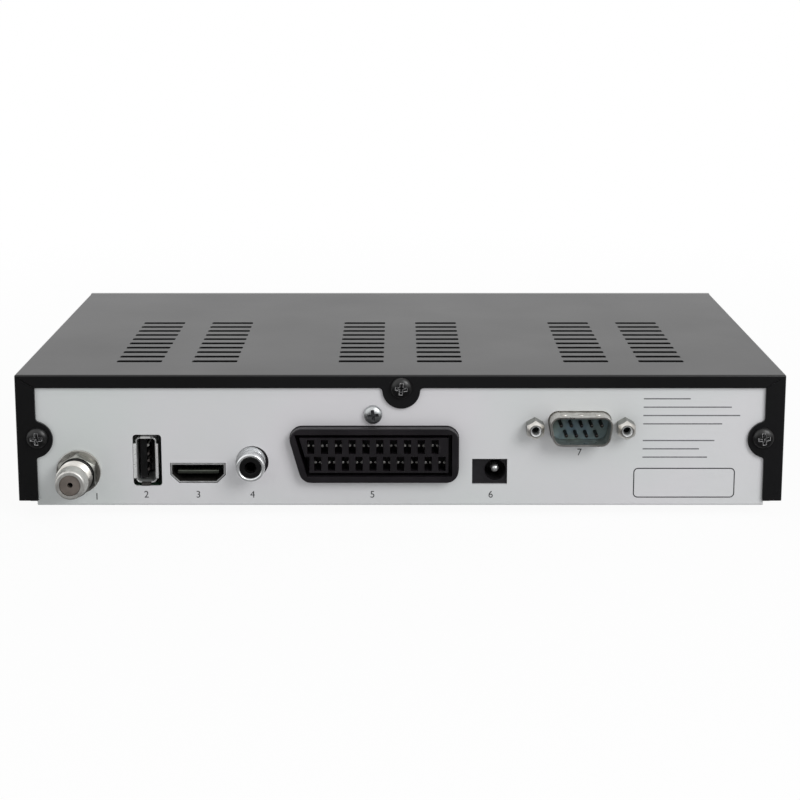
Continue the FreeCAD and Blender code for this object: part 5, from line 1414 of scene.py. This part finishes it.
@dataclass
class FrontFace:
    """Keys with plain signs and the display's unlit digits."""

    key_edge: float = 0.35
    sign: float = 1.7
    sign_line: float = 0.4
    digits: int = 4
    digit_pitch: float = 12.0
    bar: tuple[float, float] = (4.4, 0.9)

    def keys(self) -> None:
        """Dress the keys and print their signs."""
        for node, body, drawing in (("standby_button", Body.STANDBY, self.standby_sign()),
                                    ("channel_up_button", Body.CHANNEL_UP, self.arrow(1)),
                                    ("channel_down_button", Body.CHANNEL_DOWN, self.arrow(-1))):
            span = span_of(node)
            dressed(node, GLOSS_ABS, self.key_edge, body, 3)
            shifted(drawing, (span.centre.x, span.low.y, span.centre.z))
            finished(piece_from(drawing, node + "_sign"), WHITE_INK, body)

    def standby_sign(self) -> bmesh.types.BMesh:
        """Draw an open ring with an upright bar."""
        outer = arc((0, 0), (self.sign, self.sign), 125, 415, 24)
        inner = arc((0, 0), (self.sign - self.sign_line,) * 2, 415, 125, 24)
        half = self.sign_line / 2
        bar = [(-half, 0.3), (half, 0.3), (half, self.sign + 0.3), (-half, self.sign + 0.3)]
        return joined(self.band(outer, inner[::-1]), prism(bar, (-INK_MM, 0.0)))

    def band(self, outer: Sequence[Point], inner: Sequence[Point]) -> bmesh.types.BMesh:
        """Fill the strip between two open lines with as many points."""
        mesh = bmesh.new()
        rows = [[mesh.verts.new((x, y, z)) for x, z in line]
                for line, y in ((outer, -INK_MM), (inner, -INK_MM), (inner, 0.0), (outer, 0.0))]
        for near, far in zip(rows, rows[1:] + rows[:1]):
            for i in range(len(outer) - 1):
                mesh.faces.new((near[i], near[i + 1], far[i + 1], far[i]))
        for i in (0, -1):
            mesh.faces.new([row[i] for row in rows])
        return mesh

    def arrow(self, up: int) -> bmesh.types.BMesh:
        """Draw a triangle that points up or down."""
        corners = [(self.sign, -up * self.sign * 0.6), (0, up * self.sign * 0.9),
                   (-self.sign, -up * self.sign * 0.6)]
        return prism(corners, (-INK_MM, 0.0))

    def display(self) -> None:
        """Lay the unlit segments on the display module's face."""
        span = span_of("display_module")
        long, thick = self.bar
        half, point = long / 2, thick / 2
        bar = [(-half + point, -point), (half - point, -point), (half, 0), (half - point, point),
               (-half + point, point), (-half, 0)]
        segment = piece_from(prism(bar, (-INK_MM, 0.0)), "segment")
        step = long / 2 + 0.15
        layout = [(0, 2 * step, 0), (0, 0, 0), (0, -2 * step, 0),
                  (step, step, 1), (-step, step, 1), (step, -step, 1), (-step, -step, 1)]
        places, turns = [], []
        for digit in range(self.digits):
            middle = span.centre.x + (digit - (self.digits - 1) / 2) * self.digit_pitch
            for x, z, upright in layout:
                places.append((middle + x, span.low.y, span.centre.z + z))
                turns.append((0.0, upright * math.pi / 2, 0.0))
        finished(scattered("display_segments", segment, SEGMENT, places, turns), SEGMENT)

    def build(self) -> None:
        """Make the front's fine pieces."""
        self.keys()
        self.display()


@dataclass
class Boards:
    """Fine parts of the boards: gull-wing legs of the chips."""

    leg_width: float = 0.3
    leg_pitch: float = 1.27
    leg_reach: float = 1.0
    leg_thickness: float = 0.15

    def leg(self, height: float) -> bpy.types.Object:
        """Make one leg that leaves a chip's side towards +X and lands on the board."""
        knee = self.leg_reach * 0.4
        line = [(0, height), (knee, height), (knee + 0.1, 0), (self.leg_reach, 0)]
        outline = line + [(x, z + self.leg_thickness) for x, z in reversed(line)]
        return piece_from(prism(outline, (-self.leg_width / 2, self.leg_width / 2)), "leg")

    def build(self) -> None:
        """Put legs along both long sides of the memory and flash chips."""
        places, turns = [], []
        chips = solids("memory_chips") + solids("flash_chip")
        for chip in chips:
            count = int((chip.size.y - 1.5) / self.leg_pitch)
            for side, edge in ((0.0, chip.high.x), (math.pi, chip.low.x)):
                for i in range(count + 1):
                    y = chip.centre.y + (i - count / 2) * self.leg_pitch
                    places.append((edge, y, chip.low.z))
                    turns.append((0.0, 0.0, side))
        leg = self.leg(chips[0].size.z / 2)
        finished(scattered("chip_legs", leg, TIN, places, turns), TIN)


# ---------------------------------------------------------------- studio


@dataclass
class Studio:
    """Pale floor, soft light and the camera.

    Attributes:
        camera_place: Where the camera stands, in millimetres.
        camera_pitch: How far it looks down, in degrees.
        camera_lens: Focal length for a 36 mm wide picture.
        camera_rise: Vertical shift, as a share of the picture's width.
    """

    camera_place: tuple[float, float, float] = (0.07, 483.33, 150.73)
    camera_pitch: float = 9.541
    camera_lens: float = 72.844
    camera_rise: float = -0.2
    ambient: float = 0.53
    floor_half: float = 6000.0
    shadow_reach: tuple[float, float] = (120.0, 450.0)
    shadow_glow: float = 0.94
    flag_near: float = 54.0
    flag_far: float = 1500.0
    flag_top: float = 420.0
    flag_half: float = 900.0
    flag_grey: str = "#505050"
    lamps: list[tuple[str, Point, float, float]] = field(default_factory=lambda: [
        ("key", (-620.0, 760.0, 620.0), 0.55, 6.2),
        ("fill", (700.0, 520.0, 520.0), 0.9, 0.6)])

    def world(self) -> None:
        """Light everything softly, and show white to the camera and in gloss and glass."""
        world = bpy.data.worlds.new("studio")
        bpy.context.scene.world = world
        world.use_nodes = True
        tree = world.node_tree
        tree.nodes.clear()
        rays = add_node(tree, "ShaderNodeLightPath")
        seen = add_node(tree, "ShaderNodeMath", {0: rays.outputs["Is Camera Ray"],
                                                 1: rays.outputs["Is Glossy Ray"]}, operation="MAXIMUM")
        shown = add_node(tree, "ShaderNodeMath", {0: seen.outputs[0],
                                                  1: rays.outputs["Is Transmission Ray"]},
                         operation="MAXIMUM")
        soft = add_node(tree, "ShaderNodeBackground", {"Color": linear("#ffffff"), "Strength": self.ambient})
        white = add_node(tree, "ShaderNodeBackground", {"Color": linear("#ffffff"), "Strength": 1.0})
        mixed = add_node(tree, "ShaderNodeMixShader", {0: shown.outputs[0], 1: soft.outputs[0],
                                                       2: white.outputs[0]})
        add_node(tree, "ShaderNodeOutputWorld", {"Surface": mixed.outputs[0]})

    def floor(self) -> None:
        """Lay a floor that is white to the camera and keeps a soft shadow."""
        half = self.floor_half * MM
        mesh = bpy.data.meshes.new("floor")
        mesh.from_pydata([(-half, -half, 0), (half, -half, 0), (half, half, 0), (-half, half, 0)], [],
                         [(0, 1, 2, 3)])
        floor = add_object("floor", mesh)
        paint = bpy.data.materials.new("floor")
        paint.use_nodes = True
        tree = paint.node_tree
        tree.nodes.clear()
        rays = add_node(tree, "ShaderNodeLightPath")
        place = add_node(tree, "ShaderNodeTexCoord").outputs["Object"]
        away = add_node(tree, "ShaderNodeVectorMath", {0: place}, operation="LENGTH")
        share = add_node(tree, "ShaderNodeMapRange", {
            "Value": away.outputs["Value"], "From Min": self.shadow_reach[0] * MM,
            "From Max": self.shadow_reach[1] * MM, "To Min": self.shadow_glow, "To Max": 1.0})
        seen = add_node(tree, "ShaderNodeMath", {0: share.outputs["Result"],
                                                 1: rays.outputs["Is Camera Ray"]}, operation="MULTIPLY")
        lit = add_node(tree, "ShaderNodeBsdfDiffuse", {"Color": linear("#f0f0f0")})
        glow = add_node(tree, "ShaderNodeEmission", {"Color": linear("#ffffff"), "Strength": 1.0})
        mixed = add_node(tree, "ShaderNodeMixShader", {0: seen.outputs[0], 1: lit.outputs[0],
                                                       2: glow.outputs[0]})
        add_node(tree, "ShaderNodeOutputMaterial", {"Surface": mixed.outputs[0]})
        mesh.materials.append(paint)

    def flag(self) -> None:
        """Put up a dark card on the camera's side that only reflections see, so that black stays black."""
        near, far, half = self.flag_near * MM, self.flag_far * MM, self.flag_half * MM
        top = self.flag_top * MM
        mesh = bpy.data.meshes.new("flag")
        mesh.from_pydata([(-half, near, MM), (half, near, MM), (half, far, MM), (-half, far, MM),
                          (half, far, top), (-half, far, top)], [], [(0, 1, 2, 3), (3, 2, 4, 5)])
        card = add_object("flag", mesh)
        black = bpy.data.materials.new("flag")
        black.use_nodes = True
        tree = black.node_tree
        tree.nodes.clear()
        dull = add_node(tree, "ShaderNodeEmission", {"Color": linear(self.flag_grey), "Strength": 1.0})
        add_node(tree, "ShaderNodeOutputMaterial", {"Surface": dull.outputs[0]})
        mesh.materials.append(black)
        card.visible_camera = False
        card.visible_diffuse = False
        card.visible_transmission = False
        card.visible_volume_scatter = False
        card.visible_shadow = False

    def lights(self) -> None:
        """Hang the soft lamps."""
        for name, place, size, power in self.lamps:
            lamp = bpy.data.lights.new(name, "AREA")
            lamp.shape = "SQUARE"
            lamp.size = size
            lamp.energy = power
            made = bpy.data.objects.new(name, lamp)
            bpy.context.scene.collection.objects.link(made)
            made.location = Vector(place) * MM
            aim = Vector((0, 0, 20 * MM)) - made.location
            made.rotation_euler = aim.to_track_quat("-Z", "Y").to_euler()

    def camera(self) -> None:
        """Stand the camera behind the receiver, a little above it."""
        lens = bpy.data.cameras.new("camera")
        lens.lens = self.camera_lens
        lens.sensor_width = 36.0
        lens.shift_y = self.camera_rise
        lens.clip_start = 0.01
        made = bpy.data.objects.new("camera", lens)
        bpy.context.scene.collection.objects.link(made)
        made.location = Vector(self.camera_place) * MM
        made.rotation_euler = (math.radians(90 - self.camera_pitch), 0.0, math.pi)
        bpy.context.scene.camera = made

    def build(self) -> None:
        """Set the studio up."""
        self.world()
        self.floor()
        self.flag()
        self.lights()
        self.camera()
        bpy.context.scene.view_settings.view_transform = "Standard"


def main() -> None:
    """Load the frame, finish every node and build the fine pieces."""
    logging.basicConfig(level=logging.INFO, format="%(name)s: %(message)s")
    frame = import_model()
    for part in frame["record"]["subparts"]:
        for holder in frame["nodes"][part["node"]].material_slots:
            holder.material = FINISHES[part["material_slot"]].material()
    for assembly in (CaseShell(), CrossScrews(), AerialConnector(), DataSocket(), VideoSocket(),
                     PhonoSocket(), AvSocket(), PowerSocket(), SerialSocket(), PanelPrint(), FrontFace(),
                     Boards(), Studio()):
        LOG.info("building %s", type(assembly).__name__)
        assembly.build()


if __name__ == "__main__":
    main()
